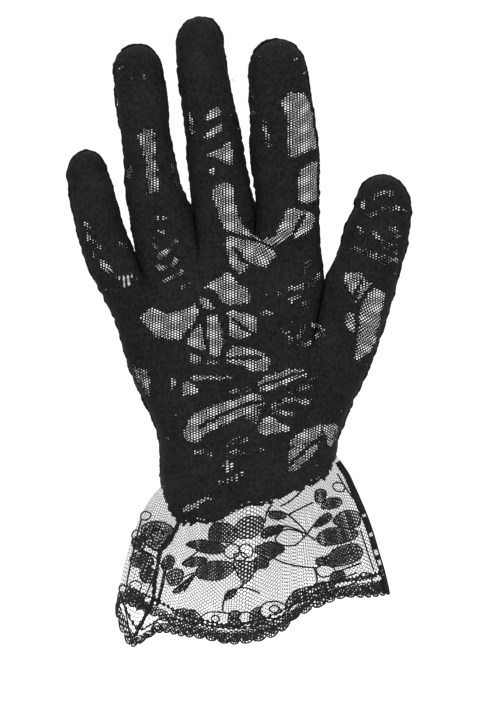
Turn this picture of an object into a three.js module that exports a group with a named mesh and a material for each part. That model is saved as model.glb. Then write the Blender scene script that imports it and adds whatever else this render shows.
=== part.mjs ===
// A wrist-length lace glove with a gathered lace ruffle, in the form that it takes when it is worn.
// Two lace panels are joined by a seam that runs round every finger. A gathered hem closes the wrist,
// and a flared ruffle with a scalloped edge hangs out of it, closed by a seam of its own.
// Millimetres. The origin is the middle of the wrist, +Z runs to the fingertips, the back of the hand
// faces -Y and the thumb is on +X.
import * as THREE from 'three';

const CLOTH = 1.2; // lace panel
const HEM_CLOTH = 1.6; // gathered hem
const RUFFLE_CLOTH = 1.0; // net ruffle
const GAP = 0.35; // between pieces that meet
const SEAM_HALF = 0.8; // half the seam's width across the panels
const WEB_HALF = 0.5; // the same in a finger web
const SEAM_DEPTH = 1.7; // how far the seam reaches inwards
const SEAM_PROUD = 0.3; // how far it stands out of the panels
const ROW_PITCH = 7.2; // height of one cell of the panel's coarse net
const WEB_LIFT = 2.1; // how far the seam rides above the panels in a finger web
const TIP_ROWS = 3; // rows that round off a fingertip
const COLUMNS = 5; // cells across one finger, on one panel
const NET_BAR = 0.17; // share of a cell that its net bars take, at each side
const PALM_ROUND = 2.5; // exponent of the palm's section: 2 is an ellipse
const WEB_REACH = 0.85; // how many table rows the dip below a finger web takes to fade out

// Rows of the hand, from the hem up to the finger webs. The x, y and z columns give the six lines that
// bound the five finger strips: little finger's outer side, four webs, thumb's outer side.
const HAND_ROWS = [
  {
    row: 'hem', back: 21, palm: 21,
    x: [-34.7, -23.4, -10.9, 3.1, 17.9, 33.9],
    y: [0, 0, 0, 0, 0, 0],
    z: [7, 9.4, 12.1, 15.1, 18.2, 21.6],
  },
  {
    row: 'heel', back: 18, palm: 20,
    x: [-35.8, -22.4, -9, 4.3, 20, 38.8],
    y: [0, 0, 0, 0, 0, 1.5],
    z: [24.6, 25, 25.7, 27.3, 30.4, 34.3],
  },
  {
    row: 'mid palm', back: 14.5, palm: 18.5,
    x: [-45.4, -28.1, -13.3, 2.9, 23.2, 47.6],
    y: [0, 0, 0, 0, 1.5, 4],
    z: [46, 47.6, 49.1, 50.7, 51.9, 53],
  },
  {
    row: 'thumb web', back: 12.5, palm: 15.5,
    x: [-53, -35.9, -17.9, 2, 28.9, 55],
    y: [0, 0, 0, 0, 3, 6],
    z: [69.8, 71.8, 78, 81.1, 81.9, 75.3],
  },
  {
    row: 'finger webs', back: 11, palm: 12.5,
    x: [-62, -43.8, -21.8, 2.2, 26.5, 55],
    y: [0, 0, 0, 0, 0, 6],
    z: [87.4, 91.3, 109.2, 109, 101.4, 75.3],
  },
];

// Each finger above its web row: centre x and z, half the width, half the depth and how far it bends to
// the palm side, then the point of its tip.
const FINGERS = [
  {
    name: 'little',
    web: 4,
    deep: 8,
    sections: [
      { x: -57.7, z: 101.4, half: 8.6, deep: 7.2, bend: 0.5 },
      { x: -61.2, z: 114.7, half: 8.5, deep: 7, bend: 1.8 },
      { x: -63.6, z: 125, half: 7.4, deep: 6.2, bend: 3.4 },
    ],
    tip: { x: -65, z: 134.1, bend: 4.4 },
  },
  {
    name: 'ring',
    web: 4,
    deep: 9.2,
    sections: [
      { x: -37.4, z: 118.6, half: 10.4, deep: 8.6, bend: 0.3 },
      { x: -40.2, z: 136.9, half: 8.9, deep: 7.8, bend: 1.4 },
      { x: -42, z: 151.3, half: 9.6, deep: 7.9, bend: 2.6 },
      { x: -43.9, z: 165.6, half: 9, deep: 7.1, bend: 4.2 },
    ],
    tip: { x: -45, z: 175.7, bend: 5.2 },
  },
  {
    name: 'middle',
    web: 4,
    deep: 9.6,
    sections: [
      { x: -12.1, z: 122.5, half: 11, deep: 9, bend: 0.2 },
      { x: -13.9, z: 136.5, half: 10.4, deep: 8.7, bend: 1 },
      { x: -16.1, z: 150.2, half: 9.6, deep: 8.2, bend: 2 },
      { x: -18.4, z: 163.8, half: 9.2, deep: 7.8, bend: 3.4 },
      { x: -19.7, z: 175.6, half: 8.8, deep: 7.1, bend: 5 },
    ],
    tip: { x: -19.9, z: 186.6, bend: 6 },
  },
  {
    name: 'index',
    web: 4,
    deep: 9.6,
    sections: [
      { x: 14.6, z: 118.6, half: 12, deep: 9.2, bend: 0.3 },
      { x: 13.6, z: 133.4, half: 12.9, deep: 9.2, bend: 1.2 },
      { x: 12.5, z: 148.2, half: 12, deep: 8.8, bend: 2.4 },
      { x: 10.9, z: 164.4, half: 11.1, deep: 7.9, bend: 4.2 },
    ],
    tip: { x: 9.8, z: 177.8, bend: 5.4 },
  },
  {
    name: 'thumb',
    web: 3,
    deep: 12,
    sections: [
      { x: 47, z: 92.6, half: 12.2, deep: 10.6, bend: 7.5 },
      { x: 49.4, z: 101.2, half: 12.3, deep: 9.8, bend: 8.6 },
      { x: 52.1, z: 111, half: 10.9, deep: 8.8, bend: 10.4 },
    ],
    tip: { x: 53.6, z: 125, bend: 12.6 },
  },
];

// Where the net ground shows between the flowers: an ellipse with its centre, half axes and turn.
const NET_WINDOWS = [
  { name: 'ring finger strip', x: -38.6, z: 134, across: 4.5, along: 13, turn: 6 },
  { name: 'middle finger joint', x: -14.5, z: 142, across: 5.5, along: 9, turn: 8 },
  { name: 'middle finger root', x: -10, z: 119, across: 5.5, along: 10, turn: 8 },
  { name: 'index pad', x: 16, z: 150, across: 6, along: 10, turn: 4 },
  { name: 'index root', x: 19, z: 129, across: 5, along: 9, turn: 4 },
  { name: 'below index', x: 13, z: 107, across: 9, along: 5, turn: 0 },
  { name: 'knuckle', x: -9.5, z: 93, across: 8.4, along: 8, turn: 0 },
  { name: 'side of palm', x: -26, z: 70, across: 11, along: 6.5, turn: -10 },
  { name: 'mid palm', x: 4, z: 66, across: 9, along: 6, turn: 0 },
  { name: 'leaf stems', x: 9, z: 47, across: 9.5, along: 5, turn: 0 },
  { name: 'thumb side', x: 47, z: 82, across: 6.5, along: 9, turn: -20 },
  { name: 'wrist', x: 25, z: 28, across: 6, along: 8, turn: 0 },
];

// The hem's lower edge: how far it hangs below the panels, by the turn round the wrist from the front.
const HEM_DROPS = [
  { turn: 0, drop: 18.5 },
  { turn: 30, drop: 16 },
  { turn: 55, drop: 13 },
  { turn: 75, drop: 7 },
  { turn: 90, drop: 3.4 },
  { turn: 105, drop: 5 },
  { turn: 135, drop: 11 },
  { turn: 180, drop: 15 },
  { turn: 225, drop: 11 },
  { turn: 250, drop: 4 },
  { turn: 265, drop: 3 },
  { turn: 282, drop: 4.5 },
  { turn: 295, drop: 11 },
  { turn: 320, drop: 20 },
  { turn: 340, drop: 20.5 },
];
const HEM_TOP = 1.7; // the hem starts this far below the panels
const HEM_COLUMNS = 60;
const HEM_GATHERS = 30;
const GATHER_DEPTH = 0.35;

// The folds of the ruffle's lower edge, by the turn round the wrist: the point that it reaches, and where
// the cloth's curve is pulled to on its way there, as shares of the way out and of the way down.
const RUFFLE_FOLDS = [
  { fold: 'front', turn: 0, x: -4, y: -30, z: -55.5, out: 0.04, down: 0.55 },
  { fold: 'front right', turn: 36, x: 25, y: -27, z: -44, out: 0.05, down: 0.5 },
  { fold: 'right flap', turn: 66, x: 42, y: -17, z: -39.5, out: 0.25, down: 0.4 },
  { fold: 'right crease', turn: 88, x: 55.5, y: -5, z: -38.5, out: 0.45, down: 0.22 },
  { fold: 'right back', turn: 112, x: 46, y: 13, z: -42, out: 0.3, down: 0.35 },
  { fold: 'back right', turn: 146, x: 23, y: 34, z: -49, out: 0.06, down: 0.5 },
  { fold: 'back', turn: 178, x: -2, y: 28, z: -53, out: 0.04, down: 0.5 },
  { fold: 'back left', turn: 208, x: -24, y: 35, z: -49, out: 0.06, down: 0.5 },
  { fold: 'left back', turn: 242, x: -44, y: 21, z: -43, out: 0.25, down: 0.4 },
  { fold: 'left side', turn: 268, x: -52, y: 5, z: -41, out: 0.58, down: 0.16 },
  { fold: 'left crease', turn: 288, x: -46.5, y: -18, z: -53, out: 0.12, down: 0.45 },
  { fold: 'left valley', turn: 308, x: -35, y: -18, z: -48, out: 0.04, down: 0.5 },
  { fold: 'front left', turn: 332, x: -24, y: -27, z: -50, out: 0.04, down: 0.55 },
];
const RUFFLE_TOP = { below: 3, inset: 3.5 }; // under the panels' edge, and inside the hem's outer face
const SCALLOPS = 60; // round the whole lower edge
const SCALLOP_DEPTH = 1.4;
const RUFFLE_ROWS = 4;
const RUFFLE_SEAM = { turn: 80, width: 1.6, thick: 1.3, rows: 8, first: 0.3 };

const BLACK_LACE = new THREE.MeshStandardMaterial({ color: '#1a191c', roughness: 0.72, metalness: 0 });
const BLACK_SEAM = new THREE.MeshStandardMaterial({ color: '#121114', roughness: 0.6, metalness: 0 });
const BLACK_HEM = new THREE.MeshStandardMaterial({ color: '#161518', roughness: 0.68, metalness: 0 });
const SHEER_BLACK = new THREE.MeshStandardMaterial({ color: '#29282a', roughness: 0.62, metalness: 0 });

const QUARTER = Math.PI / 2;
const mix = (a, b, share) => a + (b - a) * share;
const smooth = (share) => THREE.MathUtils.smoothstep(share, 0, 1);

// A value on the smooth curve through a list of numbers, at a fractional place in the list.
function through(values, place, closed = false) {
  const count = values.length;
  const at = closed ? place : THREE.MathUtils.clamp(place, 0, count - 1);
  const low = closed ? Math.floor(at) : Math.min(Math.floor(at), count - 2);
  const pick = (i) => {
    if (closed) return values[((i % count) + count) % count];
    if (i < 0) return 2 * values[0] - values[1];
    if (i >= count) return 2 * values[count - 1] - values[count - 2];
    return values[i];
  };
  const [a, b, c, d] = [pick(low - 1), pick(low), pick(low + 1), pick(low + 2)];
  const t = at - low;
  const bend = (2 * a - 5 * b + 4 * c - d) * t + (3 * b - a - 3 * c + d) * t * t;
  return b + 0.5 * t * (c - a + bend);
}

const pointThrough = (points, place) =>
  new THREE.Vector3(...['x', 'y', 'z'].map((axis) => through(points.map((p) => p[axis]), place)));

// The side point of a finger's section, on the line square to the finger's own axis.
function sidePoint(finger, index, side) {
  const centres = [...finger.sections, finger.tip];
  const here = centres[index];
  const before = centres[Math.max(index - 1, 0)];
  const after = centres[index + 1];
  const along = new THREE.Vector2(after.x - before.x, after.z - before.z).normalize();
  const reach = here.half * side;
  return new THREE.Vector3(here.x + along.y * reach, here.bend, here.z - along.x * reach);
}

// One long edge of a finger strip: the stretch that it shares with its neighbour, and the free stretch.
function stripEdge(strip, side) {
  const finger = FINGERS[strip];
  const line = strip + (side > 0 ? 1 : 0);
  const handPoint = (row) => new THREE.Vector3(row.x[line], row.y[line], row.z[line]);
  const outline = line === 0 || line === FINGERS.length;
  const thumbWeb = FINGERS[FINGERS.length - 1].web;
  const besideThumb = line === FINGERS.length - 1;
  const split = outline ? 0 : besideThumb ? thumbWeb : finger.web;
  const trunk = HAND_ROWS.slice(0, split + 1).map(handPoint);
  const free = HAND_ROWS.slice(split, finger.web + 1).map(handPoint);
  finger.sections.forEach((section, index) => free.push(sidePoint(finger, index, side)));
  return { split, trunk, free };
}

const EDGES = FINGERS.map((finger, strip) => [stripEdge(strip, -1), stripEdge(strip, 1)]);
const lastRow = (finger) => finger.web + finger.sections.length;

function onEdge({ split, trunk, free }, row) {
  return row < split ? pointThrough(trunk, row) : pointThrough(free, row - split);
}

// Half the depth of a rounded section, at a share from -1 to 1 of its width.
const dome = (share, round) => Math.pow(Math.max(0, 1 - Math.pow(Math.abs(share), round)), 1 / round);

// How far the joined hand has turned into separate strips at a row, for the thumb and for the fingers.
function splitShares(row) {
  const reached = (web, reach) => smooth((row - web + reach) / reach);
  const thumbWeb = FINGERS[FINGERS.length - 1].web;
  return { thumb: reached(thumbWeb, 1.4 * WEB_REACH), finger: reached(thumbWeb + 1, WEB_REACH) };
}

// Cells crowd towards an edge where the section turns down to a seam.
function crowded(share, left, right) {
  const even = share;
  const atLeft = 1 - Math.cos(share * QUARTER);
  const atRight = Math.sin(share * QUARTER);
  const atBoth = (1 - Math.cos(share * Math.PI)) / 2;
  return mix(mix(even, atLeft, left), mix(atRight, atBoth, left), right);
}

// A point of a panel's outer face: the strip, the share across it, the row, and 1 for the palm side or
// -1 for the back of the hand.
function panelPoint(strip, across, row, facing) {
  const finger = FINGERS[strip];
  const isThumb = strip === FINGERS.length - 1;
  const rounded = Math.max(0, row - lastRow(finger)) * QUARTER;
  const full = Math.min(row, lastRow(finger));
  const [left, right] = EDGES[strip].map((edge) => onEdge(edge, full));
  const shares = splitShares(row);
  const split = isThumb ? shares.thumb : shares.finger;
  const leftOpen = strip === 0 ? 1 : isThumb ? shares.thumb : shares.finger;
  const besideThumb = strip === FINGERS.length - 2 ? Math.max(shares.thumb, shares.finger) : split;
  const rightOpen = isThumb ? 1 : besideThumb;
  const shift = crowded(across, leftOpen, rightOpen);
  const point = left.clone().lerp(right, shift);

  const handRow = Math.min(full, HAND_ROWS.length - 1);
  const handDepth = through(HAND_ROWS.map((r) => (facing > 0 ? r.palm : r.back)), handRow);
  const span = (first, last) => {
    const from = onEdge(EDGES[first][0], handRow).x;
    const to = onEdge(EDGES[last][1], handRow).x;
    const reach = (2 * (point.x - from)) / (to - from) - 1;
    return handDepth * dome(THREE.MathUtils.clamp(reach, -1, 1), PALM_ROUND);
  };
  const ownDepths = [...Array(finger.web + 1).fill(finger.deep), ...finger.sections.map((s) => s.deep)];
  const ownDepth = through(ownDepths, full) * dome(2 * shift - 1, 2);
  let depth = ownDepth;
  if (isThumb && shares.thumb < 1) depth = mix(span(0, strip), ownDepth, shares.thumb);
  if (!isThumb && shares.finger < 1) {
    const joined = shares.thumb < 1 ? span(0, FINGERS.length - 1) : 0;
    depth = mix(mix(joined, span(0, FINGERS.length - 2), shares.thumb), ownDepth, shares.finger);
  }
  if (rounded > 0) {
    const middle = left.clone().lerp(right, 0.5);
    const tip = new THREE.Vector3(finger.tip.x, finger.tip.bend, finger.tip.z);
    const shrink = Math.pow(Math.max(0, Math.cos(rounded)), 0.9);
    point.sub(middle).multiplyScalar(shrink).add(middle.lerp(tip, Math.sin(rounded)));
    depth *= shrink;
  }
  point.y += facing * depth;
  return point;
}

// The outward normal of a panel, from the two directions of its own net.
function panelNormal(strip, across, row, facing) {
  const step = 0.02;
  const top = lastRow(FINGERS[strip]) + 1;
  const { clamp } = THREE.MathUtils;
  const at = (a, r) => panelPoint(strip, clamp(a, 0, 1), clamp(r, 0, top), facing);
  if (row >= top) return at(0.5, top).sub(at(0.5, top - 0.2)).setY(0).normalize();
  const sideways = at(across + step, row).sub(at(across - step, row));
  const upwards = at(across, row + step).sub(at(across, row - step));
  return sideways.cross(upwards).multiplyScalar(-facing).normalize();
}

// Rows of cells along a strip: the rows of the joined hand, then about one row per pitch up the finger.
function stripRows(finger) {
  const rows = [];
  const fill = (from, to, length) => {
    const count = Math.max(1, Math.round(length / ROW_PITCH));
    for (let i = 0; i < count; i += 1) rows.push(mix(from, to, i / count));
  };
  for (let row = 0; row < finger.web; row += 1) {
    const middle = 2;
    fill(row, row + 1, HAND_ROWS[row + 1].z[middle] - HAND_ROWS[row].z[middle]);
  }
  const web = HAND_ROWS[finger.web];
  const strip = FINGERS.indexOf(finger);
  let low = (web.z[strip] + web.z[strip + 1]) / 2;
  finger.sections.forEach((section, index) => {
    fill(finger.web + index, finger.web + index + 1, section.z - low);
    low = section.z;
  });
  for (let i = 0; i < TIP_ROWS; i += 1) rows.push(lastRow(finger) + i / TIP_ROWS);
  rows.push(lastRow(finger) + 1);
  return rows;
}

function inNetWindow(point) {
  return NET_WINDOWS.some(({ x, z, across, along, turn }) => {
    const angle = THREE.MathUtils.degToRad(turn);
    const dx = point.x - x;
    const dz = point.z - z;
    const sideways = (dx * Math.cos(angle) + dz * Math.sin(angle)) / across;
    const upwards = (dz * Math.cos(angle) - dx * Math.sin(angle)) / along;
    return sideways * sideways + upwards * upwards < 1;
  });
}

// A sheet of cells that becomes one closed solid: every point gets a partner one wall further in.
class Sheet {
  constructor(wall) {
    this.wall = wall;
    this.keys = new Map();
    this.points = [];
    this.normals = [];
    this.cells = [];
  }

  // Points with the same key are one point, and their normals add up.
  point(key, place, normal) {
    if (!this.keys.has(key)) {
      this.keys.set(key, this.points.length);
      this.points.push(place.clone());
      this.normals.push(new THREE.Vector3());
    }
    const index = this.keys.get(key);
    this.normals[index].add(normal);
    return index;
  }

  cell(corners, pierced = false) {
    const loop = corners.filter((corner, i) => corner !== corners[(i + 1) % corners.length]);
    if (loop.length > 2) this.cells.push({ loop, pierced: pierced && loop.length === 4 });
  }

  geometry() {
    const outer = this.points;
    const inner = outer.map((p, i) => p.clone().addScaledVector(this.normals[i].normalize(), -this.wall));
    const triangles = [];
    const face = (...loop) => {
      for (let i = 2; i < loop.length; i += 1) triangles.push(loop[0], loop[i - 1], loop[i]);
    };
    const sides = new Map();
    for (const { loop, pierced } of this.cells) {
      const [out, back] = [outer, inner].map((layer) => loop.map((i) => layer[i]));
      loop.forEach((from, i) => {
        const to = loop[(i + 1) % loop.length];
        sides.set(`${from},${to}`, [from, to]);
      });
      if (!pierced) {
        face(...out);
        face(...back.slice().reverse());
        continue;
      }
      const [outHole, backHole] = [out, back].map((corners) => {
        const centre = corners.reduce((sum, p) => sum.add(p), new THREE.Vector3()).divideScalar(4);
        return corners.map((p) => p.clone().lerp(centre, 2 * NET_BAR));
      });
      for (let i = 0; i < 4; i += 1) {
        const next = (i + 1) % 4;
        face(out[i], out[next], outHole[next], outHole[i]);
        face(back[next], back[i], backHole[i], backHole[next]);
        face(outHole[i], outHole[next], backHole[next], backHole[i]);
      }
    }
    for (const [from, to] of sides.values()) {
      if (!sides.has(`${to},${from}`)) face(outer[to], outer[from], inner[from], inner[to]);
    }
    const geometry = new THREE.BufferGeometry().setFromPoints(triangles);
    geometry.computeVertexNormals();
    return geometry;
  }
}

function piece(name, geometry, material) {
  const mesh = new THREE.Mesh(geometry, material);
  mesh.name = name;
  return mesh;
}

// One lace panel, from the hem to the fingertips.
function lacePanel(name, facing) {
  const sheet = new Sheet(CLOTH);
  const seamStep = facing * (SEAM_HALF + GAP);
  FINGERS.forEach((finger, strip) => {
    const rows = stripRows(finger);
    const top = rows.length - 1;
    const indexAt = (column, level) => {
      const across = column / COLUMNS;
      const row = rows[level];
      const edge = column === 0 ? EDGES[strip][0] : column === COLUMNS ? EDGES[strip][1] : null;
      const single = edge && [edge.trunk, edge.free].some((line) => line.length < 2);
      const outline = edge && (row >= edge.split || single);
      const place = panelPoint(strip, across, row, facing);
      if (outline || level === top) place.y += seamStep;
      const shared = column === COLUMNS && edge.split > 0 && row <= edge.split;
      const own = shared ? `${strip + 1},0,${level}` : `${strip},${column},${level}`;
      const key = level === top ? `${strip} tip` : own;
      return sheet.point(key, place, panelNormal(strip, across, row, facing));
    };
    for (let level = 0; level < top; level += 1) {
      for (let column = 0; column < COLUMNS; column += 1) {
        const height = (rows[level] + rows[level + 1]) / 2;
        const middle = panelPoint(strip, (column + 0.5) / COLUMNS, height, facing);
        const inside = level > 0 && level < top - TIP_ROWS && column > 0 && column < COLUMNS - 1;
        const joined = level > 0 && rows[level + 1] < finger.web - 1;
        const around = [[0, 0], [1, 0], [1, 1], [0, 1]];
        const corners = around.map(([dc, dl]) => indexAt(column + dc, level + dl));
        if (facing > 0) corners.reverse();
        sheet.cell(corners, (inside || joined) && inNetWindow(middle));
      }
    }
  });
  return piece(name, sheet.geometry(), BLACK_LACE);
}

// The outline that the seam follows: up the outer side of each finger, over its tip and down to the web.
function outline() {
  const stops = [];
  FINGERS.forEach((finger, strip) => {
    const rows = stripRows(finger);
    const climb = (side) => {
      const edge = EDGES[strip][side];
      const free = rows.filter((row) => row >= edge.split && row < lastRow(finger) + 1);
      return free.map((row) => ({
        place: panelPoint(strip, side, row, 1),
        out: panelNormal(strip, side, row, 1).setY(0).normalize(),
        web: row === edge.split && edge.split > 0,
      }));
    };
    const topRow = lastRow(finger) + 1;
    const tip = { place: panelPoint(strip, 0.5, topRow, 1), out: panelNormal(strip, 0.5, topRow, 1) };
    stops.push(...climb(0).filter((stop) => !stop.web), tip, ...climb(1).reverse());
  });
  for (const stop of stops) {
    if (!stop.web) continue;
    stop.out.set(0, 0, 1);
    stop.place.z += WEB_LIFT;
    stop.half = WEB_HALF;
  }
  return stops;
}

// A bar of rectangular section along a line of places, each with its own two directions.
function bar(name, stations, material) {
  const triangles = [];
  const quad = (a, b, c, d) => triangles.push(a, b, c, a, c, d);
  const last = stations.length - 1;
  stations.slice(0, last).forEach((ring, i) => {
    const next = stations[i + 1];
    for (let k = 0; k < 4; k += 1) {
      const after = (k + 1) % 4;
      quad(ring[k], ring[after], next[after], next[k]);
    }
  });
  quad(...stations[0].slice().reverse());
  quad(...stations[last]);
  const geometry = new THREE.BufferGeometry().setFromPoints(triangles);
  geometry.computeVertexNormals();
  return piece(name, geometry, material);
}

// The four corners of a bar's section: from and to along one direction, half a width along the other.
function section(place, out, side, [inner, outer], half) {
  const corner = (reach, sign) => (
    place.clone().addScaledVector(out, reach).addScaledVector(side, sign * half)
  );
  return [corner(outer, 1), corner(inner, 1), corner(inner, -1), corner(outer, -1)];
}

function sideSeam() {
  const across = new THREE.Vector3(0, 1, 0);
  const reach = [-SEAM_DEPTH, SEAM_PROUD];
  const ring = ({ place, out, half = SEAM_HALF }) => section(place, out, across, reach, half).reverse();
  const rings = outline().map(ring);
  return bar('side_seam', rings, BLACK_SEAM);
}

// The hand's section at the hem, at a turn round the wrist from the front, taken in by an inset.
function wristPoint(turn, inset, drop) {
  const hem = HAND_ROWS[0];
  const [left, right] = [hem.x[0], hem.x[hem.x.length - 1]];
  const angle = THREE.MathUtils.degToRad(turn);
  const bulge = (value) => Math.sign(value) * Math.pow(Math.abs(value), 2 / PALM_ROUND);
  const x = (left + right) / 2 + ((right - left) / 2 - inset) * bulge(Math.sin(angle));
  const y = -(hem.back - inset) * bulge(Math.cos(angle));
  const rise = (hem.z[hem.z.length - 1] - hem.z[0]) / (right - left);
  return new THREE.Vector3(x, y, hem.z[0] + rise * (x - left) - drop);
}

// Where a turn falls in a table that goes round the wrist.
function placeInTurn(rows, turn) {
  const whole = ((turn % 360) + 360) % 360;
  const low = rows.reduce((found, row, i) => (row.turn <= whole ? i : found), 0);
  const from = rows[low].turn;
  const to = low + 1 < rows.length ? rows[low + 1].turn : rows[0].turn + 360;
  return low + (whole - from) / (to - from);
}

const columnAt = (rows, name, turn) => through(rows.map((row) => row[name]), placeInTurn(rows, turn), true);

function ringSheet(wall, columns, rows, placeAt, piercedAt = () => false) {
  const sheet = new Sheet(wall);
  const indexAt = (column, level) => {
    const here = placeAt(column, level);
    const sideways = placeAt(column + 0.2, level).sub(placeAt(column - 0.2, level));
    const low = Math.max(level - 0.2, 0);
    const high = Math.min(level + 0.2, rows);
    const downwards = placeAt(column, high).sub(placeAt(column, low));
    return sheet.point(`${column % columns},${level}`, here, downwards.cross(sideways).normalize());
  };
  for (let level = 0; level < rows; level += 1) {
    for (let column = 0; column < columns; column += 1) {
      const corners = [[0, 0], [0, 1], [1, 1], [1, 0]].map(([dc, dl]) => indexAt(column + dc, level + dl));
      sheet.cell(corners, piercedAt(column, level));
    }
  }
  return sheet.geometry();
}

function wristHem() {
  const rows = 2;
  const placeAt = (column, level) => {
    const turn = (360 * column) / HEM_COLUMNS;
    const drop = mix(HEM_TOP, columnAt(HEM_DROPS, 'drop', turn), level / rows);
    const gather = GATHER_DEPTH * (1 - Math.cos((2 * Math.PI * HEM_GATHERS * column) / HEM_COLUMNS));
    return wristPoint(turn, gather * Math.sin((Math.PI * level) / rows) - 0.2, drop);
  };
  return piece('wrist_hem', ringSheet(HEM_CLOTH, HEM_COLUMNS, rows, placeAt), BLACK_HEM);
}

// The ruffle's surface: a turn round the wrist, and a share of the way down from the hem.
function rufflePoint(turn, share) {
  const top = wristPoint(turn, RUFFLE_TOP.inset, RUFFLE_TOP.below);
  const at = (name) => columnAt(RUFFLE_FOLDS, name, turn);
  const end = new THREE.Vector3(at('x'), at('y'), at('z'));
  const pull = top.clone().lerp(end, at('out')).setZ(mix(top.z, end.z, at('down')));
  return new THREE.QuadraticBezierCurve3(top, pull, end).getPoint(share);
}

function wristRuffle() {
  const columns = 2 * SCALLOPS;
  const placeAt = (column, level) => {
    const place = rufflePoint((360 * column) / columns, level / RUFFLE_ROWS);
    const scallop = Math.abs(((column + 1) % 2) - 1) * SCALLOP_DEPTH;
    if (level > RUFFLE_ROWS - 0.5) place.z += scallop;
    return place;
  };
  const piercedAt = (column, level) => level === 2 && column % 6 === 2;
  const cloth = ringSheet(RUFFLE_CLOTH, columns, RUFFLE_ROWS, placeAt, piercedAt);
  return piece('wrist_ruffle', cloth, SHEER_BLACK);
}

// The seam that closes the ruffle, lying on its outer face down the right-hand crease.
function ruffleSeam() {
  const { turn, width, thick, rows, first } = RUFFLE_SEAM;
  const rings = [];
  for (let i = 0; i <= rows; i += 1) {
    const share = mix(first, 0.97, i / rows);
    const place = rufflePoint(turn, share);
    const sideways = rufflePoint(turn + 3, share).sub(rufflePoint(turn - 3, share)).normalize();
    const downwards = rufflePoint(turn, share + 0.02).sub(rufflePoint(turn, share - 0.02));
    const out = downwards.cross(sideways).normalize();
    rings.push(section(place, out, sideways, [GAP + 0.15, GAP + 0.15 + thick], width / 2).reverse());
  }
  return bar('ruffle_seam', rings, BLACK_SEAM);
}

const glove = new THREE.Group();
glove.add(
  lacePanel('back_panel', -1),
  lacePanel('palm_panel', 1),
  sideSeam(),
  wristHem(),
  wristRuffle(),
  ruffleSeam(),
);

export default glove;
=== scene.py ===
import math

import bpy
import numpy as np
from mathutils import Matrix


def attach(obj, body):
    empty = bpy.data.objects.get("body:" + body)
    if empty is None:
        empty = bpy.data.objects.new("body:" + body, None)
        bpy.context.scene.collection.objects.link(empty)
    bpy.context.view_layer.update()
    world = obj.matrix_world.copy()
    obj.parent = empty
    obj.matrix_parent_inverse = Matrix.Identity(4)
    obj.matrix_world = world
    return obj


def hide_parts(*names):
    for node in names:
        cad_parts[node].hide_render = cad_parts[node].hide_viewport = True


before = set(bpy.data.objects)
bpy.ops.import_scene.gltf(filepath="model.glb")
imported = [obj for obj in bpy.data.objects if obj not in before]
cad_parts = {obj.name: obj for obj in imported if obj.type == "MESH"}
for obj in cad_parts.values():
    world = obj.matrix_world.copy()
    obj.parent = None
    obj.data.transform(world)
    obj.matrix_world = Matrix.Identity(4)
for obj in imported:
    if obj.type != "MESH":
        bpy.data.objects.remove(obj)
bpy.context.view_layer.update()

bl_info = {
    "name": "Lace glove",
    "version": (1, 0, 0),
    "blender": (4, 5, 0),
    "location": "View3D > Sidebar > Lace glove",
    "description": "Knits the lace, seams, hem and ruffle of a worn lace glove over its frame",
    "category": "Object",
}

MM = 0.001
QUARTER = math.pi / 2

# The hand, in millimetres: rows from the hem to the finger webs. x, y and z give the six lines that bound
# the five finger strips, from the little finger's outer side to the thumb's.
HAND_ROWS = [
    {
        "row": "hem", "back": 21, "palm": 21, "x": [-34.7, -23.4, -10.9, 3.1, 17.9, 33.9],
        "y": [0, 0, 0, 0, 0, 0], "z": [7, 9.4, 12.1, 15.1, 18.2, 21.6],
    },
    {
        "row": "heel", "back": 18, "palm": 20, "x": [-35.8, -22.4, -9, 4.3, 20, 38.8],
        "y": [0, 0, 0, 0, 0, 1.5], "z": [24.6, 25, 25.7, 27.3, 30.4, 34.3],
    },
    {
        "row": "mid palm", "back": 14.5, "palm": 18.5, "x": [-45.4, -28.1, -13.3, 2.9, 23.2, 47.6],
        "y": [0, 0, 0, 0, 1.5, 4], "z": [46, 47.6, 49.1, 50.7, 51.9, 53],
    },
    {
        "row": "thumb web", "back": 12.5, "palm": 15.5, "x": [-53, -35.9, -17.9, 2, 28.9, 55],
        "y": [0, 0, 0, 0, 3, 6], "z": [69.8, 71.8, 78, 81.1, 81.9, 75.3],
    },
    {
        "row": "finger webs", "back": 11, "palm": 12.5, "x": [-62, -43.8, -21.8, 2.2, 26.5, 55],
        "y": [0, 0, 0, 0, 0, 6], "z": [87.4, 91.3, 109.2, 109, 101.4, 75.3],
    },
]
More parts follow.
